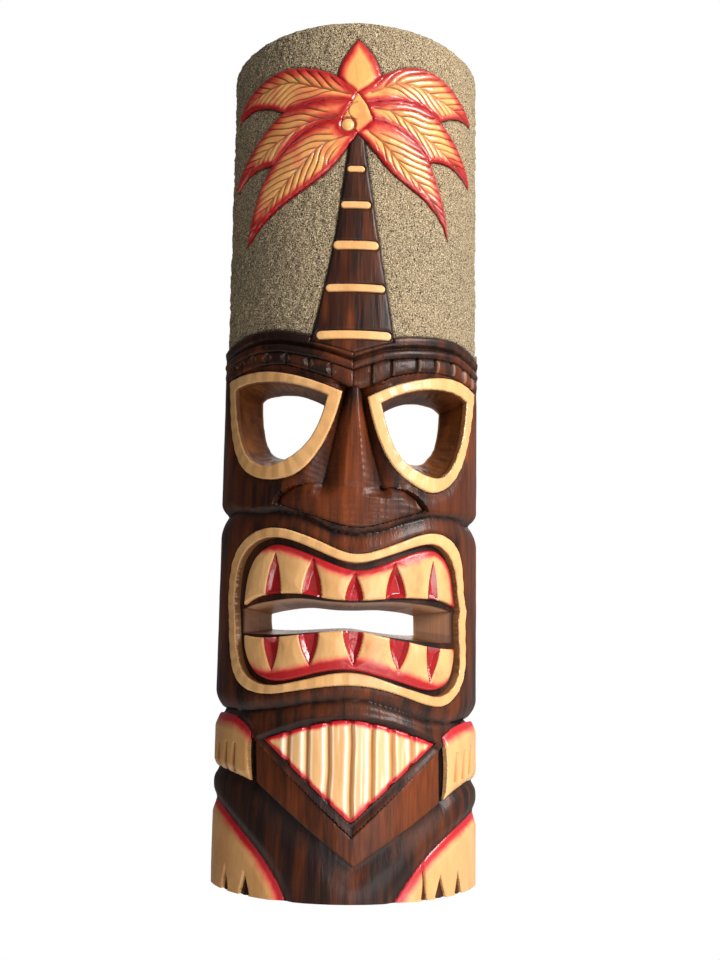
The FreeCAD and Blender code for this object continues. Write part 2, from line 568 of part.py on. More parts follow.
# ---------------------------------------------------------------- body
parts["hand_left"] = plate(HAND_LEFT, FIGURE_TOP, FIGURE_FLOOR)
parts["hand_right"] = plate(HAND_RIGHT, FIGURE_TOP, FIGURE_FLOOR)
for x, z in FINGER_GROOVES:
    hand = "hand_left" if x < 0 else "hand_right"
    parts[hand] = parts[hand].cut(groove(x, z, FINGER_GROOVE, FIGURE_TOP))
apron = plate(APRON, FIGURE_TOP, FIGURE_FLOOR)
for x in APRON_FLUTES:
    y = LOG_AXIS_Y - math.sqrt(LOG_RADIUS ** 2 - x ** 2) - FLUTE_RADIUS + FIGURE_TOP + 1.8
    apron = apron.cut(Part.makeCylinder(FLUTE_RADIUS, 80.0, V(x, y, 30.0)))
parts["apron"] = apron
parts["belt"] = plate(BELT, FIGURE_TOP, FIGURE_FLOOR)
parts["foot_left"] = plate(FOOT_LEFT, FIGURE_TOP, FIGURE_FLOOR)
parts["foot_right"] = plate(FOOT_RIGHT, FIGURE_TOP, FIGURE_FLOOR)
for points in TOE_NOTCHES:
    foot = "foot_left" if points[1][0] < 0 else "foot_right"
    parts[foot] = parts[foot].cut(triangle(points))

# ---------------------------------------------------------------- hanger
fold_inner = RING_WIRE + RING_CLEARANCE
fold_outer = fold_inner + STRAP_SHEET
bar_y = HANGER_POCKET_Y + fold_outer
fold = Part.makeCylinder(fold_outer, STRAP_WIDTH, V(-STRAP_WIDTH / 2.0, bar_y, RING_Z), V(1, 0, 0))
sheet = Part.makeBox(STRAP_WIDTH, 2.0 * STRAP_SHEET, STRAP_HEIGHT, V(-STRAP_WIDTH / 2.0, HANGER_POCKET_Y, RING_Z))
eye = Part.makeCylinder(fold_inner, STRAP_WIDTH + 2.0, V(-STRAP_WIDTH / 2.0 - 1.0, bar_y, RING_Z), V(1, 0, 0))
strap = fold.fuse(sheet).removeSplitter().cut(eye)

screws = []
for lift in (9.0, 20.0):
    screw_z = RING_Z + lift
    face_y = HANGER_POCKET_Y + 2.0 * STRAP_SHEET
    shank = Part.makeCylinder(SCREW_RADIUS, SCREW_LENGTH, V(0, face_y, screw_z), V(0, -1, 0))
    dome = Part.makeSphere(SCREW_HEAD, V(0, face_y - 1.4, screw_z))
    dome = dome.common(Part.makeBox(20, 20, 20, V(-10, face_y, screw_z - 10)))
    slot = Part.makeBox(0.9, 1.2, 8.0, V(-0.45, face_y + 1.3, screw_z - 4.0))
    screw = shank.fuse(dome).removeSplitter().cut(slot)
    screws.append(screw)
    strap = strap.cut(Part.makeCylinder(SCREW_RADIUS, 6.0, V(0, face_y + 1.0, screw_z), V(0, -1, 0)))
parts["hanger_strap"] = strap
parts["hanger_screw_upper"] = screws[1]
parts["hanger_screw_lower"] = screws[0]

ring_bar = Part.makeCylinder(RING_WIRE, 2.0 * RING_RADIUS, V(-RING_RADIUS, bar_y, RING_Z), V(1, 0, 0))
ring_bow = Part.makeTorus(RING_RADIUS, RING_WIRE, V(0, bar_y, RING_Z), V(0, 1, 0))
below = Part.makeBox(40, 20, 20, V(-20, bar_y - 10, RING_Z - 20))
ring_ends = Part.makeSphere(RING_WIRE, V(-RING_RADIUS, bar_y, RING_Z))
ring_ends = ring_ends.fuse(Part.makeSphere(RING_WIRE, V(RING_RADIUS, bar_y, RING_Z)))
parts["hanger_ring"] = ring_bow.common(below).fuse(ring_bar).fuse(ring_ends).removeSplitter()

# ---------------------------------------------------------------- shell
shell = log(0.0)
hollow_height = HEIGHT - BOTTOM_LAND - TOP_LAND
shell = shell.cut(Part.makeCylinder(HOLLOW_RADIUS, hollow_height, V(0, LOG_AXIS_Y, BOTTOM_LAND)))
pocket_width, pocket_height = HANGER_POCKET
pocket_z = HEIGHT - TOP_LAND - 1.0
shell = shell.cut(Part.makeBox(pocket_width, -HANGER_POCKET_Y, pocket_height + 1.0,
                               V(-pocket_width / 2.0, HANGER_POCKET_Y, pocket_z)))
shell = shell.cut(cutter(SAND_ZONE, COAT_FLOOR))
shell = cut_all(shell, [cutter(BROW_LEFT, BROW_FLOOR), cutter(BROW_RIGHT, BROW_FLOOR)])
shell = cut_all(shell, [cutter(NOSE_BRIDGE, NOSE_FLOOR), cutter(NOSE_WINGS, NOSE_FLOOR)])
shell = cut_all(shell, [cutter(SLOPE_LEFT, SLOPE_FLOOR), cutter(SLOPE_RIGHT, SLOPE_FLOOR)])
shell = cut_all(shell, [cutter(CHEEK_LINE, GROOVE_FLOOR), cutter(CHIN_LINE, GROOVE_FLOOR)])
shell = cut_all(shell, [cutter(EYE_LEFT_OUTER, RIM_FLOOR), cutter(EYE_RIGHT_OUTER, RIM_FLOOR)])
shell = cut_all(shell, [cutter(MOUTH_OUTER, RIM_FLOOR), cutter(MOUTH_INNER, MOUTH_FLOOR)])
figure = [HAND_LEFT, HAND_RIGHT, APRON, BELT, FOOT_LEFT, FOOT_RIGHT]
shell = cut_all(shell, [cutter(outline, FIGURE_FLOOR) for outline in figure])
shell = cut_all(shell, eye_holes + [mouth_slot])
shell = cut_all(shell, screws)
parts["carved_shell"] = shell

for name in sorted(parts):
    shape = parts[name]
    solids = len(shape.Solids)
    print(name, "solids", solids, "valid", shape.isValid(), "volume", round(shape.Volume))
    shape.exportStep("parts/%s.step" % name)
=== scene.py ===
"""Looks of the carved wooden tiki wall mask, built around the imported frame.

Shapes are worked out in millimetres on the unrolled log: s runs round the front
from the centre line, z is the height and h the relief, positive outwards.
"""

import math

import bpy
import numpy as np
from mathutils import Matrix, Vector
from mathutils.geometry import delaunay_2d_cdt
from mathutils.kdtree import KDTree


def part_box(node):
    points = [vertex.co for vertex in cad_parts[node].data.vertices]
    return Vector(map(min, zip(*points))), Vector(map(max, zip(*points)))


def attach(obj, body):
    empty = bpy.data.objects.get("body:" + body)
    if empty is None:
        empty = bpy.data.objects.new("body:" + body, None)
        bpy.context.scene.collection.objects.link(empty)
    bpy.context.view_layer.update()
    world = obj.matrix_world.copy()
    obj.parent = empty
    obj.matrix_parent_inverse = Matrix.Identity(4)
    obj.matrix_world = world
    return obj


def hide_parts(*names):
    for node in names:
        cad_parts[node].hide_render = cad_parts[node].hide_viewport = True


MM = 0.001
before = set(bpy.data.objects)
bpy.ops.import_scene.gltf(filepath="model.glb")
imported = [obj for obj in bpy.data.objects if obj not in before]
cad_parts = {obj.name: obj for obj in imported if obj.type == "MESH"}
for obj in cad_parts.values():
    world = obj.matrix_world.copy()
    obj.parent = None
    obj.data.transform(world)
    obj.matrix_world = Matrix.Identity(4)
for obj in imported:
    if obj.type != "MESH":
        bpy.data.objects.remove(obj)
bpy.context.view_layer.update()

# ------------------------------------------------------------ the log, from the frame
shell_low, shell_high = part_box("carved_shell")
HALF_WIDTH = (shell_high.x - shell_low.x) / 2 / MM
DEPTH = (shell_high.y - shell_low.y) / MM
HEIGHT = (shell_high.z - shell_low.z) / MM
LOG_R = (DEPTH ** 2 + HALF_WIDTH ** 2) / (2 * DEPTH)
AXIS_Y = LOG_R - DEPTH
HALF_ANGLE = math.acos(AXIS_Y / LOG_R)
S_MAX = LOG_R * HALF_ANGLE
WALL = 21.0
HOLLOW_R = LOG_R - WALL
HOLLOW_SIDE = LOG_R * math.acos(AXIS_Y / HOLLOW_R)
FOOT_LAND, HEAD_LAND = 40.0, 45.0
HOLLOW_LOW, HOLLOW_HIGH = FOOT_LAND, HEIGHT - HEAD_LAND

# Relief of each layer against the round log, and how far its piece reaches in
COAT_FLOOR = -3.0
SAND = -1.5
RIM = -0.5
TEETH = -2.0
MOUTH_FLOOR = -4.8


# ------------------------------------------------------------ small maths
def smooth(t):
    t = np.clip(t, 0.0, 1.0)
    return t * t * (3.0 - 2.0 * t)


def round_edge(d, width):
    """0 at an edge rising to 1 at width, as a quarter round."""
    t = np.clip(d / width, 0.0, 1.0)
    return np.sqrt(np.clip(1.0 - (1.0 - t) ** 2, 0.0, 1.0))


def ease(d, width):
    """1 at an edge falling smoothly to 0 at width."""
    return (1.0 - np.clip(d / width, 0.0, 1.0)) ** 2.0


def bell(d, width):
    return np.exp(-(d / width) ** 2)


def noise(u, v, seed=1):
    """Smooth value noise from 0 to 1 on a unit lattice."""
    table = np.random.default_rng(seed).random((64, 64))
    iu, iv = np.floor(u).astype(int), np.floor(v).astype(int)
    fu, fv = smooth(u - iu), smooth(v - iv)
    a = table[iu % 64, iv % 64]
    b = table[(iu + 1) % 64, iv % 64]
    c = table[iu % 64, (iv + 1) % 64]
    d = table[(iu + 1) % 64, (iv + 1) % 64]
    return (a * (1 - fu) + b * fu) * (1 - fv) + (c * (1 - fu) + d * fu) * fv


def cloud(u, v, seed=1, layers=3):
    """Layered noise from 0 to 1."""
    total, weight = 0.0, 0.0
    for layer in range(layers):
        gain = 0.5 ** layer
        total = total + gain * noise(u * 2 ** layer, v * 2 ** layer, seed + layer)
        weight += gain
    return total / weight


def to_s(x):
    return LOG_R * np.arcsin(np.clip(np.asarray(x, float) / LOG_R, -1.0, 1.0))


def spline(points, step=1.0):
    """A smooth line through (x, z) points, given back as (s, z)."""
    p = np.array(points, float)
    p = np.vstack([2 * p[0] - p[1], p, 2 * p[-1] - p[-2]])
    out = []
    for i in range(1, len(p) - 2):
        count = max(3, int(np.linalg.norm(p[i + 1] - p[i]) / step))
        t = np.linspace(0, 1, count, endpoint=False)[:, None]
        a, b, c, d = p[i - 1], p[i], p[i + 1], p[i + 2]
        out.append(0.5 * (2 * b + (c - a) * t + (2 * a - 5 * b + 4 * c - d) * t ** 2
                          + (3 * b - a - 3 * c + d) * t ** 3))
    out.append(p[-2][None])
    line = np.vstack(out)
    return np.column_stack([to_s(line[:, 0]), line[:, 1]])


def along(line, s, z):
    """Distance to a line, arc length along it and side (+ left of its run) for points."""
    start, end = line[:-1], line[1:]
    run = end - start
    length = np.maximum(np.linalg.norm(run, axis=1), 1e-9)
    arc = np.concatenate([[0.0], np.cumsum(length)])[:-1]
    dist, place, side = np.empty(len(s)), np.empty(len(s)), np.empty(len(s))
    for low in range(0, len(s), 4000):
        cut = slice(low, low + 4000)
        ds, dz = s[cut, None] - start[None, :, 0], z[cut, None] - start[None, :, 1]
        t = np.clip((ds * run[:, 0] + dz * run[:, 1]) / length ** 2, 0, 1)
        away = np.hypot(ds - t * run[:, 0], dz - t * run[:, 1])
        best = away.argmin(1)
        rows = np.arange(len(best))
        dist[cut] = away[rows, best]
        place[cut] = arc[best] + t[rows, best] * length[best]
        side[cut] = np.sign(run[best, 0] * dz[rows, best] - run[best, 1] * ds[rows, best])
    return dist, place, side


# ------------------------------------------------------------ outlines, from the frame
def outline(node, level, radial=False):
    """Loops of (s, z) round a CAD node's face at its top or its floor.

    Most pieces are cut straight from the front; radial is for openings cut towards the log's axis.
    """
    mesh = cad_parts[node].data
    mesh.calc_loop_triangles()
    co = np.empty(len(mesh.vertices) * 3)
    mesh.vertices.foreach_get("co", co)
    co = co.reshape(-1, 3) / MM
    tris = np.empty(len(mesh.loop_triangles) * 3, int)
    mesh.loop_triangles.foreach_get("vertices", tris)
    tris = tris.reshape(-1, 3)
    _, first, same = np.unique(np.round(co, 2), axis=0, return_index=True, return_inverse=True)
    co, tris = co[first], same.ravel()[tris]
    radius = np.hypot(co[:, 0], co[:, 1] - AXIS_Y)
    wanted = level if isinstance(level, float) else {"top": radius.max(), "floor": radius.min()}[level]
    on_face = np.abs(radius - wanted) < 0.06
    face = tris[on_face[tris].all(1)]
    steps = np.vstack([face[:, [0, 1]], face[:, [1, 2]], face[:, [2, 0]]])
    known = {(int(a), int(b)) for a, b in steps}
    follow = {}
    for a, b in sorted(known):
        if (b, a) not in known:
            follow.setdefault(a, []).append(b)
    s = to_s(co[:, 0])
    if radial:
        s = LOG_R * np.arctan2(co[:, 0], AXIS_Y - co[:, 1])
    at_back = co[:, 1] > -0.06
    s[at_back] = np.sign(co[at_back, 0]) * S_MAX
    loops = []
    while follow:
        start = at = next(iter(follow))
        loop = []
        while at in follow:
            loop.append(at)
            ways = follow[at]
            step = ways.pop()
            if not ways:
                del follow[at]
            at = step
        loops.append(np.column_stack([s[loop], co[loop, 2]]))
    return [loop for loop in loops if len(loop) > 3 and np.ptp(loop, axis=0).min() > 0.8]


def resample(loop, step, corner=28.0):
    """The loop's corners kept, and even points between them."""
    before, after = loop - np.roll(loop, 1, 0), np.roll(loop, -1, 0) - loop
    turn = np.degrees(np.abs(np.angle((after[:, 0] + 1j * after[:, 1]) / (before[:, 0]
                                                                          + 1j * before[:, 1]))))
    keys = np.flatnonzero(turn > corner)
    if len(keys) == 0:
        keys = np.array([0])
    out = []
    for i, key in enumerate(keys):
        stop = keys[(i + 1) % len(keys)]
        count = (stop - key) % len(loop) or len(loop)
        part = loop[[(key + k) % len(loop) for k in range(count + 1)]]
        arc = np.concatenate([[0.0], np.cumsum(np.linalg.norm(np.diff(part, axis=0), axis=1))])
        pieces = max(1, int(round(arc[-1] / step)))
        at = np.linspace(0, arc[-1], pieces, endpoint=False)
        out.append(np.column_stack([np.interp(at, arc, part[:, 0]), np.interp(at, arc, part[:, 1])]))
    return np.vstack(out)


def inside(loops, s, z):
    """Which points lie inside the loops, holes left out."""
    result = np.zeros(len(s), bool)
    starts = np.vstack(loops)
    ends = np.vstack([np.roll(loop, -1, 0) for loop in loops])
    near = np.flatnonzero((s > starts[:, 0].min()) & (s < starts[:, 0].max())
                          & (z > starts[:, 1].min()) & (z < starts[:, 1].max()))
    for low in range(0, len(near), 3000):
        cut = near[low:low + 3000]
        px, pz = s[cut, None], z[cut, None]
        spans = (starts[:, 1] > pz) != (ends[:, 1] > pz)
        rise = np.where(ends[:, 1] == starts[:, 1], 1e-12, ends[:, 1] - starts[:, 1])
        cross = starts[:, 0] + (pz - starts[:, 1]) * (ends[:, 0] - starts[:, 0]) / rise
        result[cut] = (spans & (px < cross)).sum(1) % 2 == 1
    return result


def distance(loops, s, z, step=0.25):
    """Distance from each point to the nearest loop."""
    return nearest(np.vstack([resample(loop, step) for loop in loops]), s, z)


def tree_of(points):
    tree = KDTree(len(points))
    for i, (a, b) in enumerate(points):
        tree.insert((a, b, 0.0), i)
    tree.balance()
    return tree


def nearest(dense, s, z):
    """Distance from each point to the nearest of a dense row of points."""
    tree = tree_of(dense)
    return np.array([tree.find((a, b, 0.0))[2] for a, b in zip(s, z)])


def match(points, wanted):
    """The number of the point nearest each wanted one."""
    tree = tree_of(points)
    return [tree.find((a, b, 0.0))[1] for a, b in wanted]


# ------------------------------------------------------------ meshes
ROW_RISE = 0.866
SIDE_BLEND = 14.0


def staggered(step, low, high):
    """Rows of points set like bricks, so that they make even triangles."""
    rows = np.arange(low[1], high[1], step * ROW_RISE)
    cols = np.arange(low[0], high[0], step)
    s, z = np.meshgrid(cols, rows)
    return s + (np.arange(len(rows)) % 2)[:, None] * step / 2, z


class Region:
    """A triangulated patch of the unrolled log, with the distance of each point to its edge."""

    def __init__(self, loops, step, fill=None, exact=False):
        self.loops = list(loops) if exact else [resample(loop, step) for loop in loops]
        points, edges, base = [], [], 0
        for loop in self.loops:
            count = len(loop)
            points.append(loop)
            edges += [(base + i, base + (i + 1) % count) for i in range(count)]
            base += count
        if fill is None:
            fill = self.grid(step)
        if len(fill):
            points.append(fill)
        made = delaunay_2d_cdt([Vector(p) for p in np.vstack(points)], edges, [], 0, 1e-5)
        self.p = np.array([tuple(v) for v in made[0]])
        tris = np.array([f for f in made[2] if len(f) == 3])
        middle = self.p[tris].mean(1)
        self.tris = tris[inside(self.loops, middle[:, 0], middle[:, 1])]
        self.s, self.z = self.p[:, 0], self.p[:, 1]
        self.x = LOG_R * np.sin(self.s / LOG_R)
        self.edge = distance(self.loops, self.s, self.z, 0.4)

    def grid(self, step):
        flat = np.vstack(self.loops)
        s, z = staggered(step, flat.min(0), flat.max(0))
        wobble = np.random.default_rng(7).uniform(-0.12, 0.12, (2,) + s.shape) * step
        s, z = (s + wobble[0]).ravel(), (z + wobble[1]).ravel()
        keep = inside(self.loops, s, z)
        s, z = s[keep], z[keep]
        clear = distance(self.loops, s, z, step / 2) > step * 0.5
        return np.column_stack([s[clear], z[clear]])


def on_log(s, z, h):
    """Points in metres at arc s, height z and relief h."""
    radius = LOG_R + h
    shortfall = HALF_ANGLE - np.arccos(np.clip(AXIS_Y / radius, -1, 1))
    pull = smooth((np.abs(s) - (S_MAX - SIDE_BLEND)) / SIDE_BLEND)
    angle = s / LOG_R - np.sign(s) * pull * shortfall
    x = radius * np.sin(angle)
    y = np.minimum(AXIS_Y - radius * np.cos(angle), 0.0)
    return np.column_stack([x, y, z]) * MM


def borders(tris):
    """Directed edges used by one triangle only."""
    steps = np.vstack([tris[:, [0, 1]], tris[:, [1, 2]], tris[:, [2, 0]]])
    known = {(int(a), int(b)) for a, b in steps}
    return [(a, b) for a, b in known if (b, a) not in known]


def make_mesh(name, points, faces, material, marks, sharp=40.0):
    """A mesh object from points in metres, with float attributes for its material."""
    mesh = bpy.data.meshes.new(name)
    mesh.from_pydata(points.tolist(), [], faces)
    for key, values in marks.items():
        layer = mesh.attributes.new(key, "FLOAT", "POINT")
        layer.data.foreach_set("value", np.asarray(values, np.float32))
    mesh.materials.append(material)
    mesh.validate()
    mesh.shade_smooth()
    mesh.set_sharp_from_angle(angle=math.radians(sharp))
    piece = bpy.data.objects.new(name, mesh)
    bpy.context.scene.collection.objects.link(piece)
    return piece


def slab(name, patch, h, floor, material, marks, nodes):
    """A closed piece on the mask: a carved top, a plain floor and walls between."""
    top = on_log(patch.s, patch.z, np.broadcast_to(h, patch.s.shape))
    under = Region(patch.loops, 8.0, None, exact=True)
    low = on_log(under.s, under.z, np.full(len(under.s), floor))
    count = len(top)
    rim = borders(patch.tris)
    starts = [a for a, _ in rim]
    below = dict(zip(starts, match(under.p, patch.p[starts])))
    faces = patch.tris.tolist() + (under.tris[:, ::-1] + count).tolist()
    faces += [[b, a, below[a] + count, below[b] + count] for a, b in rim]
    spread = {}
    for key, values in marks.items():
        values = np.broadcast_to(np.asarray(values, float), (count,))
        under_values = np.full(len(low), float(np.median(values[starts])))
        under_values[[below[a] for a in starts]] = values[starts]
        spread[key] = np.concatenate([values, under_values])
    piece = make_mesh(name, np.vstack([top, low]), faces, material, spread)
    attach(piece, "mask")
    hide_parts(*nodes)
    return piece


# ------------------------------------------------------------ materials
def rgb(red, green, blue):
    """A colour given as it looks on screen, 0 to 255."""
    values = []
    for value in (red, green, blue):
        value /= 255.0
        values.append(value / 12.92 if value < 0.04045 else ((value + 0.055) / 1.055) ** 2.4)
    return (*values, 1.0)


class Paint:
    """A lacquered surface built up from layers of colour."""

    def __init__(self, name, colour, rough=0.4, coat=0.0, metal=0.0):
        self.material = bpy.data.materials.new(name)
        self.material.use_nodes = True
        self.nodes = self.material.node_tree.nodes
        self.links = self.material.node_tree.links
        self.shader = self.nodes["Principled BSDF"]
        self.shader.inputs["Roughness"].default_value = rough
        self.shader.inputs["Coat Weight"].default_value = coat
        self.shader.inputs["Coat Roughness"].default_value = 0.16
        self.shader.inputs["Metallic"].default_value = metal
        self.colour = colour
        self.place = self.nodes.new("ShaderNodeTexCoord").outputs["Object"]
        self.relief = None

    def put(self, socket, value):
        if isinstance(value, bpy.types.NodeSocket):
            self.links.new(value, socket)
        else:
            socket.default_value = value

    def mark(self, key):
        node = self.nodes.new("ShaderNodeAttribute")
        node.attribute_name = key
        return node.outputs["Fac"]

    def pattern(self, scale, stretch=(1, 1, 1), detail=3.0, kind="ShaderNodeTexNoise"):
        spread = self.nodes.new("ShaderNodeMapping")
        self.links.new(self.place, spread.inputs["Vector"])
        spread.inputs["Scale"].default_value = stretch
        node = self.nodes.new(kind)
        self.links.new(spread.outputs["Vector"], node.inputs["Vector"])
        node.inputs["Scale"].default_value = scale
        if "Detail" in node.inputs:
            node.inputs["Detail"].default_value = detail
        return node.outputs["Color" if kind == "ShaderNodeTexVoronoi" else "Fac"]

    def span(self, value, low, high, to_low=0.0, to_high=1.0):
        node = self.nodes.new("ShaderNodeMapRange")
        node.inputs["From Min"].default_value = low
        node.inputs["From Max"].default_value = high
        node.inputs["To Min"].default_value = to_low
        node.inputs["To Max"].default_value = to_high
        self.put(node.inputs["Value"], value)
        return node.outputs["Result"]

    def math(self, way, a, b):
        node = self.nodes.new("ShaderNodeMath")
        node.operation = way
        self.put(node.inputs[0], a)
        self.put(node.inputs[1], b)
        return node.outputs[0]

    def over(self, amount, colour):
        """Lays a colour over what is there, by amount."""
        node = self.nodes.new("ShaderNodeMix")
        node.data_type = "RGBA"
        self.put(node.inputs["Factor"], amount)
        self.put(node.inputs["A"], self.colour)
        self.put(node.inputs["B"], colour)
        self.colour = node.outputs["Result"]

    def bump(self, height, depth, strength=1.0):
        node = self.nodes.new("ShaderNodeBump")
        node.inputs["Distance"].default_value = depth
        node.inputs["Strength"].default_value = strength
        self.put(node.inputs["Height"], height)
        if self.relief:
            self.links.new(self.relief, node.inputs["Normal"])
        self.relief = node.outputs["Normal"]

    def rough(self, value):
        self.put(self.shader.inputs["Roughness"], value)

    def done(self):
        self.put(self.shader.inputs["Base Color"], self.colour)
        if self.relief:
            self.links.new(self.relief, self.shader.inputs["Normal"])
            self.links.new(self.relief, self.shader.inputs["Coat Normal"])
        return self.material


GRAIN = (1.0, 1.0, 0.06)


def grained(name, dark, worn, rough=0.42, coat=0.1):
    """Wood with its fibres running up the log, made lighter by the mark 'tint': worn places, and in
    places painted light.
    """
    wood = Paint(name, dark, rough, coat)
    wood.shader.inputs["Specular IOR Level"].default_value = 0.25
    fibres = wood.pattern(900.0, GRAIN, 4.0)
    streaks = wood.pattern(140.0, (1.0, 1.0, 0.12), 3.0)
    blotches = wood.pattern(28.0, (1.0, 1.0, 0.5), 2.0)
    # Lighter where worn, and painted light where the mark 'tint' carries it.
    wear_and_light = wood.math("ADD", wood.mark("tint"), wood.span(streaks, 0.35, 0.7, -0.25, 0.3))
    wear_and_light = wood.math("ADD", wear_and_light, wood.span(blotches, 0.3, 0.7, -0.15, 0.2))
    wood.over(wood.span(wear_and_light, 0.0, 1.0), worn)
    wood.over(wood.span(fibres, 0.35, 0.75, 0.0, 0.35), dark)
    wood.bump(fibres, 0.00035, 0.55)
    wood.bump(streaks, 0.0008, 0.2)
    wood.rough(wood.span(blotches, 0.3, 0.7, rough - 0.06, rough + 0.12))
    return wood


DARK = rgb(32, 14, 8)
WORN = rgb(122, 56, 18)
CREAM = rgb(236, 184, 122)
CREAM_DEEP = rgb(200, 142, 84)
RED = rgb(176, 22, 26)
DEEP_RED = rgb(130, 14, 18)

dark = grained("dark_lacquered_wood", DARK, WORN)
dark.over(dark.mark("warm"), rgb(136, 78, 30))
dark.over(dark.math("MULTIPLY", dark.mark("warm"),
                    dark.span(dark.pattern(90.0, (1, 1, 0.5)), 0.42, 0.62)),
          rgb(52, 26, 12))
# Painted light: lit facets and light edges in pale greyish pink.
dark.over(dark.mark("pale"), rgb(178, 136, 106))
dark.over(dark.mark("raw"), rgb(170, 122, 78))
dark.over(dark.math("MULTIPLY", dark.mark("raw"),
                    dark.span(dark.pattern(70.0, (1, 1, 0.08)), 0.42, 0.66, 0.0, 0.8)),
          rgb(124, 82, 46))
dark.over(dark.math("MULTIPLY", dark.mark("raw"),
                    dark.span(dark.pattern(22.0, (1, 1, 0.6)), 0.5, 0.7, 0.0, 0.5)),
          rgb(196, 152, 104))
dark.over(dark.mark("shade"), rgb(22, 13, 10))
DARK_WOOD = dark.done()


def cream_wood(name, red=RED):
    wood = Paint(name, CREAM, 0.36, 0.3)
    fibres = wood.pattern(700.0, GRAIN, 4.0)
    stain = wood.pattern(60.0, (1.0, 1.0, 0.4), 3.0)
    wood.over(wood.span(stain, 0.4, 0.72, 0.0, 0.6), CREAM_DEEP)
    wood.over(wood.span(fibres, 0.45, 0.8, 0.0, 0.4), rgb(214, 160, 100))
    wood.over(wood.mark("gold"), rgb(168, 104, 38))
    # Painted highlight in near white.
    wood.over(wood.mark("painted_highlight"), rgb(255, 238, 218))
    pink = wood.span(wood.math("ADD", wood.mark("red"), wood.span(stain, 0.3, 0.7, -0.12, 0.12)), 0.08,
                     0.62)
    wood.over(pink, rgb(222, 92, 76))
    wood.over(wood.span(wood.mark("red"), 0.5, 0.85), red)
    wood.over(wood.mark("shade"), rgb(92, 50, 22))
    wood.bump(fibres, 0.0002, 0.4)
    return wood.done()


CREAM_WOOD = cream_wood("cream_painted_wood")
APRON_PAINT = cream_wood("apron_paint", rgb(190, 20, 34))

frond = Paint("frond_paint", rgb(240, 172, 98), 0.3, 0.5)
blend = frond.pattern(70.0, (1, 1, 1), 3.0)
fine = frond.pattern(420.0, (1, 1, 1), 3.0)
frond.over(frond.span(frond.math("ADD", frond.mark("red"), frond.span(blend, 0.3, 0.7, -0.2, 0.2)),
                      0.14, 0.62),
           rgb(228, 92, 66))
frond.over(frond.span(frond.math("ADD", frond.mark("red"), frond.span(blend, 0.3, 0.7, -0.1, 0.1)), 0.6,
                      1.0),
           rgb(172, 20, 24))
frond.over(frond.mark("vein"), rgb(104, 58, 22))
frond.over(frond.mark("shade"), rgb(36, 14, 12))
frond.bump(fine, 0.0003, 0.5)
FROND_PAINT = frond.done()

nut = Paint("coconut_paint", rgb(246, 186, 116), 0.3, 0.5)
nut.over(nut.span(nut.pattern(260.0), 0.4, 0.7, 0.0, 0.5), rgb(226, 132, 78))
nut.over(nut.mark("shade"), rgb(120, 66, 28))
nut.bump(nut.pattern(500.0), 0.0003, 0.5)
NUT_PAINT = nut.done()

gum = Paint("gum_red_paint", rgb(172, 14, 20), 0.2, 0.8)
gum.over(gum.span(gum.pattern(300.0), 0.4, 0.7, 0.0, 0.6), DEEP_RED)
gum.over(gum.mark("shade"), rgb(74, 4, 8))
gum.bump(gum.pattern(260.0), 0.0004, 0.35)
RED_PAINT = gum.done()

sand = Paint("sand_coat", rgb(152, 130, 98), 0.85)
grit = sand.pattern(1950.0, (1, 1, 1), 2.0)
lumps = sand.pattern(1250.0, (1, 1, 1), 2.0)
patch = sand.pattern(16.0, (1, 1, 1), 2.0)
sand.over(sand.span(patch, 0.35, 0.65, 0.0, 0.45), rgb(122, 110, 88))
sand.over(sand.span(grit, 0.53, 0.61), rgb(232, 212, 174))
sand.over(sand.span(lumps, 0.47, 0.39), rgb(56, 44, 30))
sand.over(sand.mark("shade"), rgb(40, 30, 22))
sand.bump(grit, 0.0009, 0.8)
sand.bump(lumps, 0.0012, 0.7)
SAND_SKIN = sand.done()

steel = Paint("plated_steel", rgb(168, 170, 172), 0.32, 0.0, 1.0)
scuff = steel.pattern(700.0, (1, 1, 0.2), 3.0)
steel.over(steel.span(scuff, 0.5, 0.75, 0.0, 0.5), rgb(110, 108, 104))
steel.bump(scuff, 0.0001, 0.3)
steel.rough(steel.span(scuff, 0.3, 0.7, 0.24, 0.46))
STEEL = steel.done()

# ------------------------------------------------------------ outlines used more than once
MOUTH = outline("mouth_rim", "top")


def area(loop):
    nxt = np.roll(loop, -1, 0)
    return 0.5 * float((loop[:, 0] * nxt[:, 1] - nxt[:, 0] * loop[:, 1]).sum())


def largest(loops):
    return max(loops, key=lambda loop: abs(area(loop)))


def smallest(loops):
    return min(loops, key=lambda loop: abs(area(loop)))


def eye_loops(name, way, rise, reach):
    """The rim's outer edge, cut straight, and its opening, pared a little up and outwards."""
    opening = smallest(outline(name, "top", True))
    middle = (opening.min(0) + opening.max(0)) / 2
    out, up = (opening - middle).T
    opening[:, 0] += way * reach * smooth(out * way / 30.0)
    opening[:, 1] += rise * smooth(up / 14.0)
    return [largest(outline(name, "top")), opening]


EYES = [eye_loops("eye_rim_left", -1, 1.7, 1.6), eye_loops("eye_rim_right", 1, 1.1, 1.2)]
slot_loops = [loop for loop in outline("carved_shell", LOG_R - 5.0, True)
              if loop[:, 1].min() > 120 and loop[:, 1].max() < 175]
MOUTH_INNER = smallest(MOUTH)


def run_to_rim(loop):
    """The slot's ends carried on to just inside the mouth's rim."""
    level = (MOUTH_INNER[:, 1] > 140.0) & (MOUTH_INNER[:, 1] < 166.0)
    rim_s = MOUTH_INNER[level, 0]
    low, high = rim_s[rim_s < 0].max() + 1.2, rim_s[rim_s > 0].min() - 1.2
    s, straight = loop[:, 0], 48.0
    right = straight + (s - straight) * (high - straight) / (s.max() - straight)
    left = -straight + (s + straight) * (low + straight) / (s.min() + straight)
    return np.column_stack([np.where(s > straight, right, np.where(s < -straight, left, s)),
                            loop[:, 1]])


SLOT = run_to_rim(largest(slot_loops))

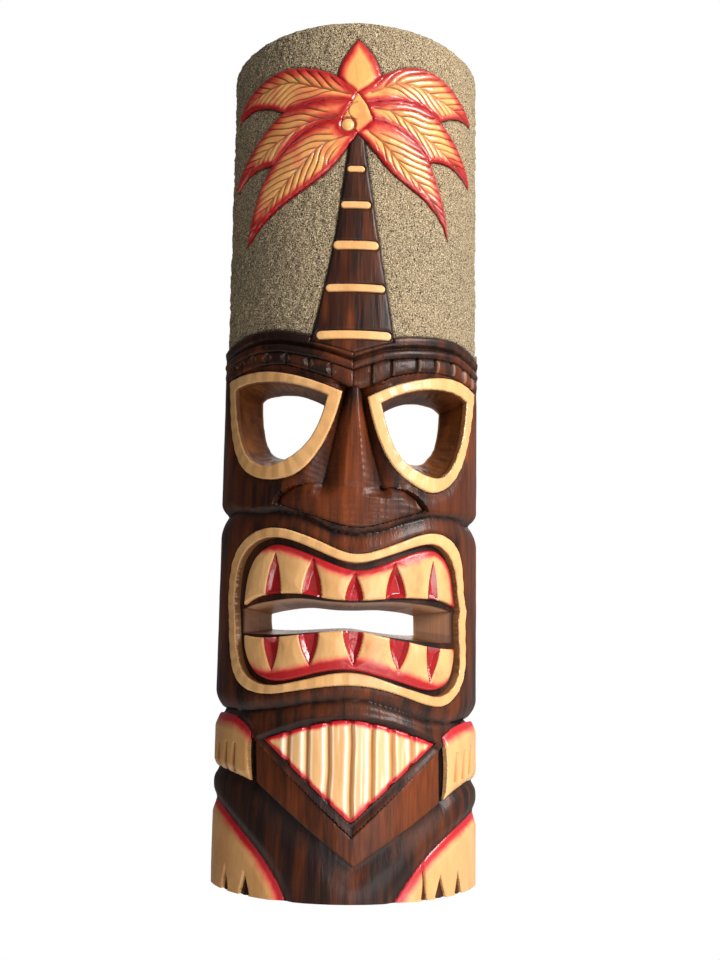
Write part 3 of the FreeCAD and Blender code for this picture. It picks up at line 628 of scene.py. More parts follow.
# ------------------------------------------------------------ palm motif
RIBS = {
    "frond_upper_left": [(1, 453.5), (-11.5, 457), (-24, 461), (-39.5, 467), (-55.5, 467), (-66.5, 465),
                         (-73, 460.5)],
    "frond_middle_left": [(-6, 441.5), (-17, 441), (-30, 438.5), (-39.5, 434.5), (-50, 430),
                          (-60, 423.5), (-72.5, 415)],
    "frond_lower_left": [(-2, 429), (-9.5, 428), (-21, 423.5), (-29.5, 415.5), (-40, 405.5), (-49, 396),
                         (-64.5, 376.5)],
    "frond_upper_right": [(5, 454), (15.5, 459), (26.5, 464), (38.5, 464.5), (49.5, 462), (59.5, 460.5),
                          (72, 459)],
    "frond_middle_right": [(6.5, 447), (20.5, 446), (31, 441.5), (41.5, 435), (52.5, 429.5),
                           (70, 419.5)],
    "frond_lower_right": [(4.5, 435), (16, 426.5), (27.5, 414.5), (38, 405), (46, 396.5), (57, 378)],
}
VEIN_SPACING = 7.4
VEIN_ANGLE = math.radians(30.0)


def make_frond(name, rib):
    patch = Region(outline(name, "top"), 0.42)
    line = spline(rib)
    n, t, side = along(line, patch.s, patch.z)
    if rib[-1][0] < rib[0][0]:
        side = -side
    wander = 0.35 * (noise(t / 9.0, n / 9.0, 3) - 0.5)
    q = (t - n / math.tan(VEIN_ANGLE)) / VEIN_SPACING + wander + 0.25 * (side > 0)
    vein_away = np.abs(q - np.round(q)) * VEIN_SPACING * math.sin(VEIN_ANGLE)
    tip = t.max()
    reach = smooth((patch.edge - 0.9) / 1.6) * smooth((t - 7.0) / 6.0) * smooth((tip - t) / 7.0)
    reach = reach * (0.35 + 0.65 * smooth(noise(np.round(q) * 1.7, side + 3.0, 5) * 2.2))
    vein = bell(vein_away, 0.42) * reach * smooth(n / 0.8)
    rib_line = bell(n, 0.55) * smooth((t - 2.0) / 4.0) * smooth((tip - t) / 3.0)
    plump = 1.0 - np.abs(2.0 * (q - np.floor(q)) - 1.0) ** 2
    h = -1.5 + 1.3 * round_edge(patch.edge, 1.9) + 0.35 * plump * reach
    h = h + 0.5 * smooth(n / 4.0) - 0.75 * vein - 0.8 * rib_line
    h = h + 0.25 * (cloud(patch.s / 4.0, patch.z / 4.0, 11) - 0.5)
    above = smooth((side + 1) / 2)
    width = 4.2 + 4.6 * above
    red = 1.1 - 0.88 * smooth(patch.edge / width) + 0.3 * smooth((t - 0.72 * tip) / (0.3 * tip))
    red = red + 0.35 * (cloud(patch.s / 5.0, patch.z / 5.0, 21) - 0.5)
    marks = {
        "red": np.clip(red, 0, 1),
        "vein": np.clip(0.85 * np.maximum(vein, 0.75 * rib_line), 0, 1),
        "shade": 0.9 * (patch.edge < 0.02),
    }
    slab(name + "_look", patch, h, COAT_FLOOR, FROND_PAINT, marks, [name])


for frond_name, frond_rib in RIBS.items():
    make_frond(frond_name, frond_rib)


def make_bud():
    patch = Region(outline("frond_bud", "top"), 0.42)
    top = np.array([(-10.0, 465.5), (-8.5, 473.5), (-4.0, 481.5), (1.0, 489.0), (6.5, 484.0),
                    (12.0, 476.5), (15.5, 467.0)])
    upper = along(spline(top), patch.s, patch.z)[0]
    h = -1.5 + 1.6 * round_edge(patch.edge, 3.0) + 0.3 * (cloud(patch.s / 4, patch.z / 6, 31) - 0.5)
    red = 1.15 - 1.15 * smooth(upper / 7.5) + 0.3 * (cloud(patch.s / 4, patch.z / 4, 32) - 0.5)
    red = red + 0.8 * bell(patch.edge, 1.3) * (patch.z < 466)
    vein = 0.5 * bell(np.abs(patch.x - 1.5 + 0.1 * (patch.z - 460)),
                      0.35) * smooth((patch.z - 458) / 4) * smooth((480 - patch.z) / 8)
    marks = {"red": np.clip(red, 0, 1), "vein": 0.35 * vein, "shade": 0.0}
    slab("frond_bud_look", patch, h, COAT_FLOOR, FROND_PAINT, marks, ["frond_bud"])


def make_heart():
    patch = Region(outline("crown_heart", "top"), 0.45)
    nut_x, nut_z = -4.0, 436.0
    away = np.hypot(patch.x - nut_x, patch.z - nut_z)
    second = np.hypot(patch.x - 1.5, patch.z - 444.5)
    arcs = bell(away - 4.9, 0.35) + bell(second - 5.2, 0.35) * (patch.x < 1.5)
    h = (-1.3 + 1.3 * round_edge(patch.edge, 1.5) - 0.45 * arcs
         + 0.2 * (cloud(patch.s / 3, patch.z / 3, 33) - 0.5))
    red = 0.75 * bell(patch.edge, 1.1) * (patch.z < 441) + 0.35 * (cloud(patch.s / 4, patch.z / 4, 34))
    marks = {"red": np.clip(red, 0, 1), "vein": np.clip(0.7 * arcs, 0, 1), "shade": 0.0}
    slab("crown_heart_look", patch, h, COAT_FLOOR, FROND_PAINT, marks, ["crown_heart"])


def make_coconut():
    patch = Region(outline("coconut", "top"), 0.4)
    h = -1.3 + 2.0 * round_edge(patch.edge, 4.1) + 0.2 * (cloud(patch.s / 2, patch.z / 2, 35) - 0.5)
    slab("coconut_look", patch, h, COAT_FLOOR, NUT_PAINT,
         {"shade": bell(patch.edge, 0.5)}, ["coconut"])


def make_trunk():
    patch = Region(outline("palm_trunk", "top"), 0.6)
    half = 3.0 + 21.0 * (432.0 - patch.z) / 125.0
    middle = 1.5
    facet = np.round((patch.x - middle) / half * 2.4)
    h = -1.5 + 1.3 * round_edge(patch.edge, 1.8) + 0.16 * facet * np.sin(patch.z / 40.0)
    h = (h + 0.35 * (cloud(patch.s / 7, patch.z / 40, 41) - 0.5)
         + 0.1 * (noise(patch.s / 1.2, patch.z / 12, 42) - 0.5))
    tint = 0.12 + 0.5 * smooth(cloud(patch.s / 5, patch.z / 30, 43) * 2.4 - 1.1)
    marks = {"tint": tint, "shade": 0.5 * bell(patch.edge, 0.6)}
    slab("palm_trunk_look", patch, h, COAT_FLOOR, DARK_WOOD, marks, ["palm_trunk"])


def make_band(name, seed):
    patch = Region(outline(name, "top"), 0.4)
    h = -1.3 + 1.15 * round_edge(patch.edge, 0.9) + 0.3 * (cloud(patch.s / 4, patch.z / 2, seed) - 0.5)
    marks = {"gold": 0.45 * bell(patch.edge, 0.5), "red": 0.0, "shade": 0.5 * (patch.edge < 0.02)}
    slab(name + "_look", patch, h, COAT_FLOOR, CREAM_WOOD, marks, [name])


def make_sand():
    patch = Region(outline("sand_coat", "top"), 0.85)
    inner = (np.abs(patch.s) < S_MAX - 3.0) & (patch.z < HEIGHT - 3.0)
    h = SAND + 0.6 * (noise(patch.s / 1.3, patch.z / 1.3, 51) - 0.5)
    h = (h + 0.6 * (cloud(patch.s / 14, patch.z / 14, 52) - 0.5)
         + 0.7 * (noise(patch.s / 3.1, patch.z / 3.1, 53) - 0.5))
    h = h - 0.8 * bell(patch.edge, 0.9) * inner
    h = h - 1.2 * (1 - round_edge(HEIGHT - patch.z, 2.5))
    shade = np.clip(1.1 * bell(patch.edge, 1.0), 0, 0.95) * inner
    slab("sand_coat_look", patch, h, COAT_FLOOR, SAND_SKIN, {"shade": shade},
         ["sand_coat"])


make_bud()
make_heart()
make_coconut()
make_trunk()
for number in range(1, 6):
    make_band("trunk_band_%d" % number, 60 + number)
make_sand()

# ------------------------------------------------------------ brows
BROW_TOP = [(-90, 316), (-77, 317.5), (-54.5, 318.5), (-41, 316.5), (-29, 313), (-14.5, 308.8),
            (1.5, 303),
            (19, 309.5), (33.5, 312.5), (48.5, 315), (63, 316.5), (77.5, 313.5), (90, 309)]
BROW_FOOT = [(-90, 297), (-71, 297.5), (-54, 298), (-38, 296), (-24, 291), (-11, 286), (1.5, 280.5),
             (12, 282.5), (24, 288), (38.5, 292.5), (60, 295.5), (73, 294), (90, 293)]
BEADS = {
    "brow_left": [-71.2, -65.7, -58.2, -48.7, -37.2, -23.7, -10.7],
    "brow_right": [12.0, 23.5, 38.5, 49.5, 59.7, 67.5, 73.0],
}


def height_of(line, x):
    p = np.array(line, float)
    return np.interp(x, p[:, 0], p[:, 1])


def make_brow(name):
    patch = Region(outline(name, "floor"), 0.52)
    x, z = patch.x, patch.z
    down = height_of(BROW_TOP, x) - z
    left = name.endswith("left")
    depth = height_of(BROW_TOP, x) - height_of(BROW_FOOT, x)
    row_top = np.minimum(12.0, depth - 7.0)
    h = np.where(down < 4.6, -0.5 + 0.9 * round_edge(down, 2.0) - 0.25 * smooth((down - 2) / 2.6), 0.0)
    valley = np.clip((down - 4.6) / 3.4, 0, 1)
    h = np.where((down >= 4.6) & (down < 8.0), 0.15 - 2.4 * (1 - np.abs(2 * valley - 1) ** 1.5), h)
    ridge = np.clip((down - 8.0) / (row_top - 8.0), 0, 1)
    h = np.where((down >= 8.0) & (down < row_top), 0.1 + 0.4 * np.sin(math.pi * ridge)
                 - 0.6 * ridge ** 3, h)
    row = np.clip((down - row_top) / (depth - row_top), 0, 1)
    beads = -1.5 + 1.5 * (1 - np.abs(2 * row - 1) ** 3)
    shade = 0.8 * bell(down - 6.4, 0.9) + 0.7 * bell(down - row_top - 0.4, 0.6)
    tint = 0.02 + 0.5 * smooth(cloud(x / 9, z / 9, 71) * 2.2 - 0.9)
    # Painted light on the lit faces and edges of the bead notches.
    pale = np.zeros(len(x))
    for notch in BEADS[name]:
        off = x - notch
        if left:
            cup = np.clip(1.0 - np.abs(row - 0.45) / 0.42, 0, 1)
            cut = np.clip(1.0 - np.abs(off + 0.3) / (0.4 + 3.0 * cup), 0, 1) * (row > 0.02)
            beads = beads - 2.3 * cut * (off > -2.6) * smooth((cup + 0.1) * 3)
            pale = np.where((row > 0.05) & (off > -0.1) & (off < 3.2 * cup), 0.42, pale)
        else:
            gap = np.clip(1.0 - np.abs(off) / 1.5, 0, 1)
            beads = beads - 2.1 * gap * (row > 0.02)
            pale = np.where((row > 0.12) & (row < 0.9) & (np.abs(off - 1.3) < 0.42), 0.38, pale)
        shade = np.maximum(shade, 0.6 * bell(off, 0.5) * (row > 0.05))
    h = np.where(down >= row_top, beads, h)
    h = h - 0.9 * (1 - round_edge(patch.edge, 1.1)) * (down > 1.5)
    h = h + 0.25 * (cloud(patch.s / 6, z / 3, 72) - 0.5)
    near_middle = bell(x - 1.5, 14.0)
    tint = np.clip(tint + 0.35 * near_middle, 0, 1.2)
    at_wall = np.abs(patch.s) > S_MAX - 0.3
    marks = {"tint": tint, "shade": np.clip(shade, 0, 1) * ~at_wall, "pale": pale, "raw": 0.9 * at_wall}
    slab(name + "_look", patch, h, -5.0, DARK_WOOD, marks, [name])


make_brow("brow_left")
make_brow("brow_right")


# ------------------------------------------------------------ cream rims
def make_rim(name, loops, floor, inner_shade):
    patch = Region(loops, 0.5)
    inner = distance([smallest(loops)], patch.s, patch.z)
    outer = largest(loops)
    cuts = along(np.vstack([outer, outer[:1]]), patch.s, patch.z)[1] / 9.5
    facet = np.abs(2 * (cuts - np.floor(cuts)) - 1)
    h = RIM - 0.8 * (1 - smooth(patch.edge / 0.7)) + 0.3 * facet
    h = h + 0.15 * (cloud(patch.s / 3, patch.z / 3, 82) - 0.5)
    marks = {
        "gold": np.clip(0.35 * bell(inner, 0.7) + 0.25 * cloud(patch.s / 9, patch.z / 9, 83) - 0.05, 0,
                        1),
        "red": 0.0,
        "shade": np.where(inner < 0.2, inner_shade, 0.3 * (patch.edge < 0.1)),
    }
    slab(name + "_look", patch, h, floor, CREAM_WOOD, marks, [name])


make_rim("eye_rim_left", EYES[0], -3.4, 0.9)
make_rim("eye_rim_right", EYES[1], -3.4, 0.9)
make_rim("mouth_rim", MOUTH, -4.9, 0.8)

# ------------------------------------------------------------ nose
VALLEY_LEFT = [(227.5, -16.0), (247.5, -10.5), (265.0, -6.5), (284.0, -2.0)]
VALLEY_RIGHT = [(224.5, 20.5), (248.0, 14.0), (267.5, 9.5), (284.0, 6.5)]
WING_TOP = [(-43, 216.5), (-39, 222.5), (-29, 226.5), (-16, 227.5), (20.5, 225), (30, 225), (39, 221),
            (45.5, 213.5)]
RIDGE_X = 3.0


def make_nose():
    patch = Region(outline("nose", "floor"), 0.5)
    x, z = patch.x, patch.z
    left, right = height_of(VALLEY_LEFT, z), height_of(VALLEY_RIGHT, z)
    flat = 1.3 + 3.9 * smooth((282.0 - z) / 60.0)
    outside = np.where(x < RIDGE_X, (RIDGE_X - flat - x) / (RIDGE_X - flat - left),
                       (x - RIDGE_X - flat) / (right - RIDGE_X - flat))
    bridge = 0.4 - 7.4 * np.clip(outside, 0, 1) ** 1.25
    chamfer = np.clip(1.0 - (height_of(WING_TOP, x) - z) / 7.0, 0, 1)
    wings = 0.5 - 3.6 * chamfer ** 1.3 - 0.6 * (1 - round_edge(patch.edge, 3.0))
    wings = wings - 1.6 * smooth((np.abs(x - 2) - 26) / 18)
    share = smooth((z - 216.0) / 13.0) * smooth((23.0 - np.abs(x - 2.0)) / 6.0)
    h = wings * (1 - share) + bridge * share
    h = (h + 0.16 * np.sin(z / 0.62 + 1.5 * noise(x / 6, z / 6, 91)) * noise(x / 8, z / 14,
                                                                             92) * (z < 262))
    h = (h + 0.5 * (cloud(patch.s / 8, z / 30, 93) - 0.5)
         + 0.12 * (noise(patch.s / 1.1, z / 14, 94) - 0.5))
    h = np.maximum(h, -8.6)
    tint = (0.45 + 0.45 * bell(x + 1, 14) + 0.3 * (cloud(x / 6, z / 22, 95) - 0.5)
            - 0.25 * smooth((x - 14) / 12))
    tint = tint - 0.6 * smooth((z - 262) / 16) - 0.5 * share * np.clip(outside, 0, 1)
    # Painted highlight on the facet at the tip of the right wing.
    facet = 0.5 * smooth((x - 38.5) / 1.2) * smooth((z - 213.5) / 2.0) * smooth((223.0 - z) / 2.0)
    marks = {"tint": np.clip(tint, 0, 1), "shade": 0.45 * bell(patch.edge, 1.0), "pale": facet}
    slab("nose_look", patch, h, -9.0, DARK_WOOD, marks, ["nose"])


make_nose()

# ------------------------------------------------------------ teeth and gums
def make_teeth(name, seed):
    patch = Region(outline(name, "top"), 0.5)
    to_rim = distance([MOUTH_INNER], patch.s, patch.z)
    to_slot = distance([SLOT], patch.s, patch.z)
    h = TEETH - 1.3 * (1 - round_edge(patch.edge, 1.4)) + 0.6 * smooth(patch.edge / 6.0)
    h = h + 0.3 * (cloud(patch.s / 5, patch.z / 8, seed) - 0.5)
    border = 3.3 + 3.6 * smooth((66 - np.abs(patch.x)) / 26)
    red = (1.35 - 1.35 * smooth((to_rim - 2.6) / (border + 1.6))
           + 0.3 * (cloud(patch.s / 3, patch.z / 3, seed + 1) - 0.5))
    marks = {
        "red": np.clip(red, 0, 1),
        "gold": np.clip(0.5 * cloud(patch.s / 7, patch.z / 10, seed + 2) - 0.15
                        + 0.3 * bell(to_slot, 0.6), 0, 1),
        "shade": 0.25 * (patch.edge < 0.02),
    }
    slab(name + "_look", patch, h, -5.0, CREAM_WOOD, marks, [name])


def make_gums(name, seed):
    for index, loop in enumerate(sorted(outline(name, "top"), key=lambda item: item[:, 0].mean())):
        patch = Region([loop], 0.35)
        dense = resample(loop, 0.25)
        sides = dense[distance([SLOT], dense[:, 0], dense[:, 1]) > 1.7]
        across = nearest(sides, patch.s, patch.z)
        h = TEETH - 0.3 - 0.8 * across
        h = np.maximum(h, -4.4) + 0.12 * (cloud(patch.s / 2, patch.z / 4, seed + index) - 0.5)
        marks = {"shade": np.clip(0.35 * bell(patch.edge, 0.3), 0, 1)}
        tag = "%s_%d_look" % (name, index + 1)
        slab(tag, patch, h, -5.0, RED_PAINT, marks, [name])


make_teeth("teeth_upper", 101)
make_teeth("teeth_lower", 111)
make_gums("gum_upper", 121)
make_gums("gum_lower", 131)

# ------------------------------------------------------------ body
FLUTES = [-32.0, -21.0, -9.0, 3.5, 15.0, 26.0, 37.5]
FINGERS = {
    "hand_left": [(-74.5, 73.0), (-69.0, 74.0), (-63.5, 74.0)],
    "hand_right": [(64.0, 70.0), (69.0, 71.0), (73.5, 73.0)],
}
APRON_TOP = [(-45, 85), (-34, 89), (-17.5, 93.5), (1, 96.5), (17, 94.5), (33.5, 90), (50.5, 83.5)]
HAND_TOP = {
    "hand_left": [(-90, 97.5), (-76, 98), (-64.5, 96.5), (-58, 92.5), (-54.5, 88.5)],
    "hand_right": [(57, 87), (63.5, 91.5), (72.5, 94.5), (90, 97)],
}
HAND_FOOT = {
    "hand_left": [(-90, 66.5), (-78.5, 67), (-64.5, 65), (-53.5, 62)],
    "hand_right": [(57.5, 52.5), (64.5, 57), (73.5, 61), (90, 62)],
}
FOOT_EDGE = {
    "foot_left": [(-79, 49.5), (-75.5, 47.5), (-62.5, 37.5), (-47, 23.5), (-37.5, 11.5), (-31.5, 0)],
    "foot_right": [(28.5, 0), (35.5, 9.5), (45, 20.5), (60.5, 33), (75, 41.5), (80, 43.5)],
}


def make_apron():
    patch = Region(outline("apron", "floor"), 0.5)
    x, z = patch.x, patch.z
    h = np.full(len(x), -0.7)
    gold = np.zeros(len(x))
    # Painted highlights on the flute slopes beside each valley, and streaks of painted sheen.
    highlight = np.zeros(len(x))
    for flute in FLUTES:
        off = x - flute - 0.8 * (noise(z / 14.0, np.full(len(x), flute), 141) - 0.5)
        h = h - 1.7 * np.clip(1 - (np.abs(off) / 2.4) ** 1.6, 0, 1)
        gold = np.maximum(gold, bell(off - 0.4, 1.0))
        highlight = np.maximum(highlight, bell(off + 2.6, 1.0) + 0.6 * bell(off - 2.9, 0.7))
    h = h - 1.1 * (1 - round_edge(patch.edge, 1.6)) + 0.4 * (cloud(x / 3, z / 25, 142) - 0.5)
    red = 1.15 - 1.15 * smooth(patch.edge / (2.6 + 3.4 * cloud(x / 3.0, z / 9.0, 143)))
    highlight = highlight + 0.7 * smooth(cloud(x / 1.6, z / 30, 144) * 3.0 - 1.6)
    marks = {
        "red": np.clip(red, 0, 1),
        "gold": np.clip(0.9 * gold, 0, 1),
        "painted_highlight": np.clip(0.85 * highlight, 0, 1) * (1 - np.clip(1.4 * gold, 0, 1)),
        "shade": 0.2 * (patch.edge < 0.02),
    }
    slab("apron_look", patch, h, -4.0, APRON_PAINT, marks, ["apron"])


def make_hand(name):
    patch = Region(outline(name, "floor"), 0.55)
    x, z = patch.x, patch.z
    top = height_of(HAND_TOP[name], x) - z
    low = z - height_of(HAND_FOOT[name], x)
    ends = np.minimum(top, low)
    inner = np.abs(patch.s) < S_MAX - 6.0
    edge = np.where(inner, patch.edge, np.maximum(ends, 0.0))
    h = (-0.4 - 1.3 * (1 - round_edge(edge, 2.4)) - 2.2 * (1 - smooth(top / 8.0))
         - 1.2 * (1 - smooth(low / 5.0)))
    h = h + 0.3 * (cloud(patch.s / 5, z / 12, 151) - 0.5)
    line = np.zeros(len(x))
    for fx, fz in FINGERS[name]:
        off = np.abs(x - fx - 0.05 * (z - fz)) + 3.0 * np.clip(np.abs(z - fz) - 8.0, 0, 9)
        line = np.maximum(line, bell(off, 0.5 + 0.04 * np.clip(fz + 8.0 - z, 0, 16)))
    h = h - 1.3 * line
    red = 1.05 - 1.1 * smooth(top / 9.0) + 0.25 * (cloud(x / 4, z / 4, 152) - 0.5)
    # Painted shade: the left hand darker tan, with darker creases.
    left_shade, creases = (0.35, 0.55 * line) if name.endswith("left") else (0.0, 0.0)
    marks = {
        "red": np.clip(red, 0, 1),
        "gold": np.clip(0.7 * line + left_shade, 0, 1),
        "shade": np.clip(creases + 0.3 * (patch.edge < 0.02), 0, 1),
    }
    slab(name + "_look", patch, h, -4.0, APRON_PAINT, marks, [name])


def make_foot(name):
    patch = Region(outline(name, "top"), 0.55)
    x, z = patch.x, patch.z
    slope = along(spline(FOOT_EDGE[name]), patch.s, z)[0]
    inner = (np.abs(patch.s) < S_MAX - 6.0) & (z > 1.0)
    edge = np.where(inner, patch.edge, slope)
    h = -0.3 - 1.2 * (1 - round_edge(edge, 1.8)) - 2.0 * (1 - smooth(slope / 9.0))
    h = h + 0.4 * (cloud(patch.s / 6, z / 14, 161) - 0.5)
    red = 1.15 - 1.15 * smooth(slope / 8.0) + 0.25 * (cloud(x / 4, z / 4, 162) - 0.5)
    gold = 0.25 * cloud(x / 6, z / 10, 163)
    if name.endswith("right"):
        crease = bell(x - 45.0, 0.6) * smooth((22 - z) / 4)
        h = h - 0.9 * crease
        gold = gold + 0.5 * crease
    else:
        # Painted shade: the left foot darker tan.
        gold = gold + 0.2
    marks = {"red": np.clip(red, 0, 1), "gold": np.clip(gold, 0, 1),
             "shade": 0.5 * (patch.edge < 0.02) * inner}
    slab(name + "_look", patch, h, -4.0, APRON_PAINT, marks, [name])


def make_belt():
    patch = Region(outline("belt", "top"), 0.6)
    x, z = patch.x, patch.z
    h = -0.6 - 1.0 * (1 - round_edge(patch.edge, 1.2)) - 0.04 * np.abs(x - 5)
    h = (h + 0.3 * (noise(patch.s / 1.6, z / 16, 171) - 0.5)
         + 0.4 * (cloud(patch.s / 9, z / 20, 172) - 0.5))
    # Painted light: the belt lighter towards the right.
    tint = 0.38 + 0.55 * (cloud(x / 3, z / 16, 173) - 0.4) + 0.15 * smooth(x / 20)
    marks = {"tint": np.clip(tint, 0, 1), "shade": 0.6 * bell(patch.edge, 0.5)}
    slab("belt_look", patch, h, -4.0, DARK_WOOD, marks, ["belt"])


make_apron()
for part in ("hand_left", "hand_right"):
    make_hand(part)
for part in ("foot_left", "foot_right"):
    make_foot(part)
make_belt()

# ------------------------------------------------------------ the shell
CHEEK = [(-77.6, 215), (-71, 216), (-56, 212.5), (-41, 212), (-26, 209), (-9.5, 200), (4.5, 197.5),
         (20.5, 200.5),
         (34.5, 206), (47.5, 210.5), (61.5, 212), (72, 211.5), (77.6, 211.5)]
CHIN = [(-77.6, 101), (-56.5, 100), (-38.5, 102), (-20, 105.5), (0, 107.5), (14, 106.5), (30, 102),
        (44, 97),
        (60, 94.5), (77.6, 96.5)]
FRAME_RIDGE = [(-48, 88), (-35.5, 93), (-21.5, 97.5), (-5, 99.5), (11, 99), (27.5, 96), (41.5, 90.5),
               (53.5, 83.5)]

BELT_TOP = [(-51.5, 85), (4.5, 34.5), (54.5, 80.5)]

# Each cover: its outline, the height its floor stands at, and the height its edge leaves free
COVERS = [
    (["sand_coat"], "top", -2.7, -2.4), (["palm_trunk"], "top", -2.7, -2.4),
    (["crown_heart", "coconut"], "top", -2.7, -2.4),
    (list(RIBS) + ["frond_bud"], "top", -2.7, -2.4),
    (["trunk_band_%d" % n for n in range(1, 6)], "top", -2.7, -2.4),
    (["brow_left", "brow_right"], "floor", -4.7, -2.4), (["nose"], "floor", -8.7, -2.0),
    (["teeth_upper", "gum_upper"], "top", -5.05, -4.6),
    (["teeth_lower", "gum_lower"], "top", -5.05, -4.6),
    (["hand_left", "hand_right"], "floor", -3.7, -2.6), (["apron"], "floor", -3.7, -2.6),
    (["belt"], "top", -3.7, -2.4),
    (["foot_left", "foot_right"], "top", -3.7, -2.6),
]


def exposed(s, z):
    """Height, tint (worn places and some painted light) and painted shade of the dark wood where it
    shows.
    """
    x = LOG_R * np.sin(s / LOG_R)
    cheek = height_of(CHEEK, x) - z
    chin = z - height_of(CHIN, x)
    side = smooth((np.abs(x) - 62.0) / 14.0)
    drop = 3.2 + (1.3 + 0.8 * (x > 0)) * side
    block = (cheek > 0) & (chin > 0)
    above, below = cheek <= 0, chin <= 0
    h = np.full(len(s), -0.4)
    rounding = 4.0 + 4.0 * side
    h = np.where(block, h - drop * ease(cheek, 14.0) - drop * ease(chin, 11.0), h)
    h = np.where(above, h - drop * ease(-cheek, rounding), h)
    h = np.where(below, h - drop * ease(-chin, rounding + 1.0), h)
    shade = 0.85 * bell(cheek, 1.6) + 0.8 * bell(chin, 1.5)
    tint = 0.22 + 0.45 * (cloud(x / 12, z / 40, 181) - 0.4) + 0.25 * (noise(x / 1.8, z / 20, 182) - 0.5)
    warm_band = block * bell(cheek - 6.0, 5.0) * bell(x - 8.0, 46.0)
    # Painted light: above the cheek line the face is lighter towards the right.
    tint = tint + 0.4 * warm_band + above * 0.25 * smooth((x - 40) / 20)
    for loops in EYES:
        d = distance([largest(loops)], s, z)
        h = h - 1.9 * bell(d, 3.6) * above
        shade = shade + 0.55 * bell(d, 1.6)
    d = distance([largest(MOUTH)], s, z)
    shade = shade + 0.45 * bell(d, 1.2)
    h = h - 0.5 * bell(d, 1.8)
    eye_side = (np.abs(x) < 38) & above & (z < 284)
    left, right = height_of(VALLEY_LEFT, z), height_of(VALLEY_RIGHT, z)
    for rim, valley, way in ((EYES[0], left, -1), (EYES[1], right, 1)):
        on_side = eye_side & ((x - 3.0) * way > 0) & (z > 222.0)
        from_rim = distance([largest(rim)], s, z)
        from_valley = np.clip((x - valley) * way, 0, None)
        share = from_rim / np.maximum(from_rim + from_valley, 0.01)
        ripple = 0.45 * np.abs(np.sin(z / 3.4 * math.pi + 0.35 * x)) * smooth(from_rim / 3.0)
        slope = -1.3 - 6.4 * share ** 1.2 + ripple * (way < 0)
        fade = smooth((z - 222.0) / 7.0) * smooth((36 - np.abs(x - 2.0)) / 8.0)
        h = np.where(on_side, h * (1 - fade) + slope * fade, h)
        # Painted light on the left eye's slope down to the nose, strongest by the rim; painted shade
        # deep down each valley.
        tint = np.where(on_side & (way < 0), np.maximum(tint, 0.62 * (1 - share)), tint)
        shade = np.where(on_side, np.maximum(shade, 0.9 * smooth((share - 0.72) / 0.28)), shade)
    ridge = height_of(FRAME_RIDGE, x) - z
    h = h + below * (0.9 * bell(ridge - 0.5, 1.6)) * (np.abs(x - 3) < 52)
    shade = shade + below * 0.5 * bell(ridge - 3.4, 1.3) * (np.abs(x - 3) < 50)
    belt = distance(outline("belt", "top"), s, z)
    line = height_of(BELT_TOP, x)
    strip = (z > line) & (ridge > 0) & (np.abs(x - 2) < 54)
    share = strip * smooth((ridge - 1.6) / 2.6)
    h = h * (1 - share) + (-0.4 - 1.3 * smooth(belt / 4.5)) * share
    shade = shade + 0.5 * strip * smooth(belt / 3.0)
    under = below & (z < line) & (ridge > 0)
    h = np.where(under, h - 3.4 * bell(belt, 9.0), h)
    shade = (shade + under * (0.5 * bell(belt, 5.0)
                              + 0.55 * smooth((-x - 8.0) / 30.0) * smooth((z - 22.0) / 20.0)))
    for name in ("hand_left", "hand_right"):
        d = distance(outline(name, "floor"), s, z)
        h = np.where(below, h - 2.8 * bell(d, 4.0), h)
        shade = shade + below * 0.4 * bell(d, 2.5)
    for name in ("foot_left", "foot_right"):
        d = distance(outline(name, "top"), s, z)
        h = np.where(below, h - 2.0 * bell(d, 4.0), h)
        shade = shade + below * 0.35 * bell(d, 2.0)
    recess = inside([MOUTH_INNER], s, z)
    h = np.where(recess, MOUTH_FLOOR + 0.2, h)
    shade = np.where(recess, 0.45, shade)
    wave = 0.45 * (cloud(s / 9, z / 28, 183) - 0.5) + 0.14 * (noise(s / 1.3, z / 16, 184) - 0.5)
    h = np.maximum(h, -7.6) + wave * (~recess)
    tint = np.clip(tint - 0.1 * below, 0, 1)
    return h, tint, np.clip(shade, 0, 0.9)


def relief(s, z):
    """The shell's front: what shows, and a plain floor under each cover."""
    h, tint, shade = exposed(s, z)
    covered = np.zeros(len(s), bool)
    for names, level, floor, free in COVERS:
        loops = [loop for name in names for loop in outline(name, level)]
        hit = inside_any(names, level, s, z)
        deep = distance(loops, s, z)
        h = np.where(hit, np.where(deep < 0.7, np.minimum(h, free), floor), h)
        covered |= hit & (deep > 1.2)
    border = (z > 318) & ((z > HEIGHT - 2.5) | (np.abs(s) > S_MAX - 2.5))
    h = np.where(border, -2.95, h)
    for loops, rest, lip in ((EYES[0], -3.1, -3.1), (EYES[1], -3.1, -3.1), (MOUTH, -3.9, -4.6)):
        to_inner = distance([smallest(loops)], s, z)
        to_outer = distance([largest(loops)], s, z)
        hit = inside(loops, s, z) | (to_inner < 0.3)
        under = np.where((to_outer < 0.7) & (to_inner > 1.5), np.minimum(h, -1.9), rest)
        under = np.where(to_inner < 2.0, lip, under)
        h = np.where(hit, under, h)
        covered |= hit & (to_outer > 1.2) & (to_inner > 0.6)
    return h, tint, shade, covered


def inside_any(names, level, s, z):
    hit = np.zeros(len(s), bool)
    for name in names:
        hit |= inside(outline(name, level), s, z)
    return hit


POCKET_DEPTH, POCKET_HALF, POCKET_HEIGHT = 6.5, 16.0, 35.0


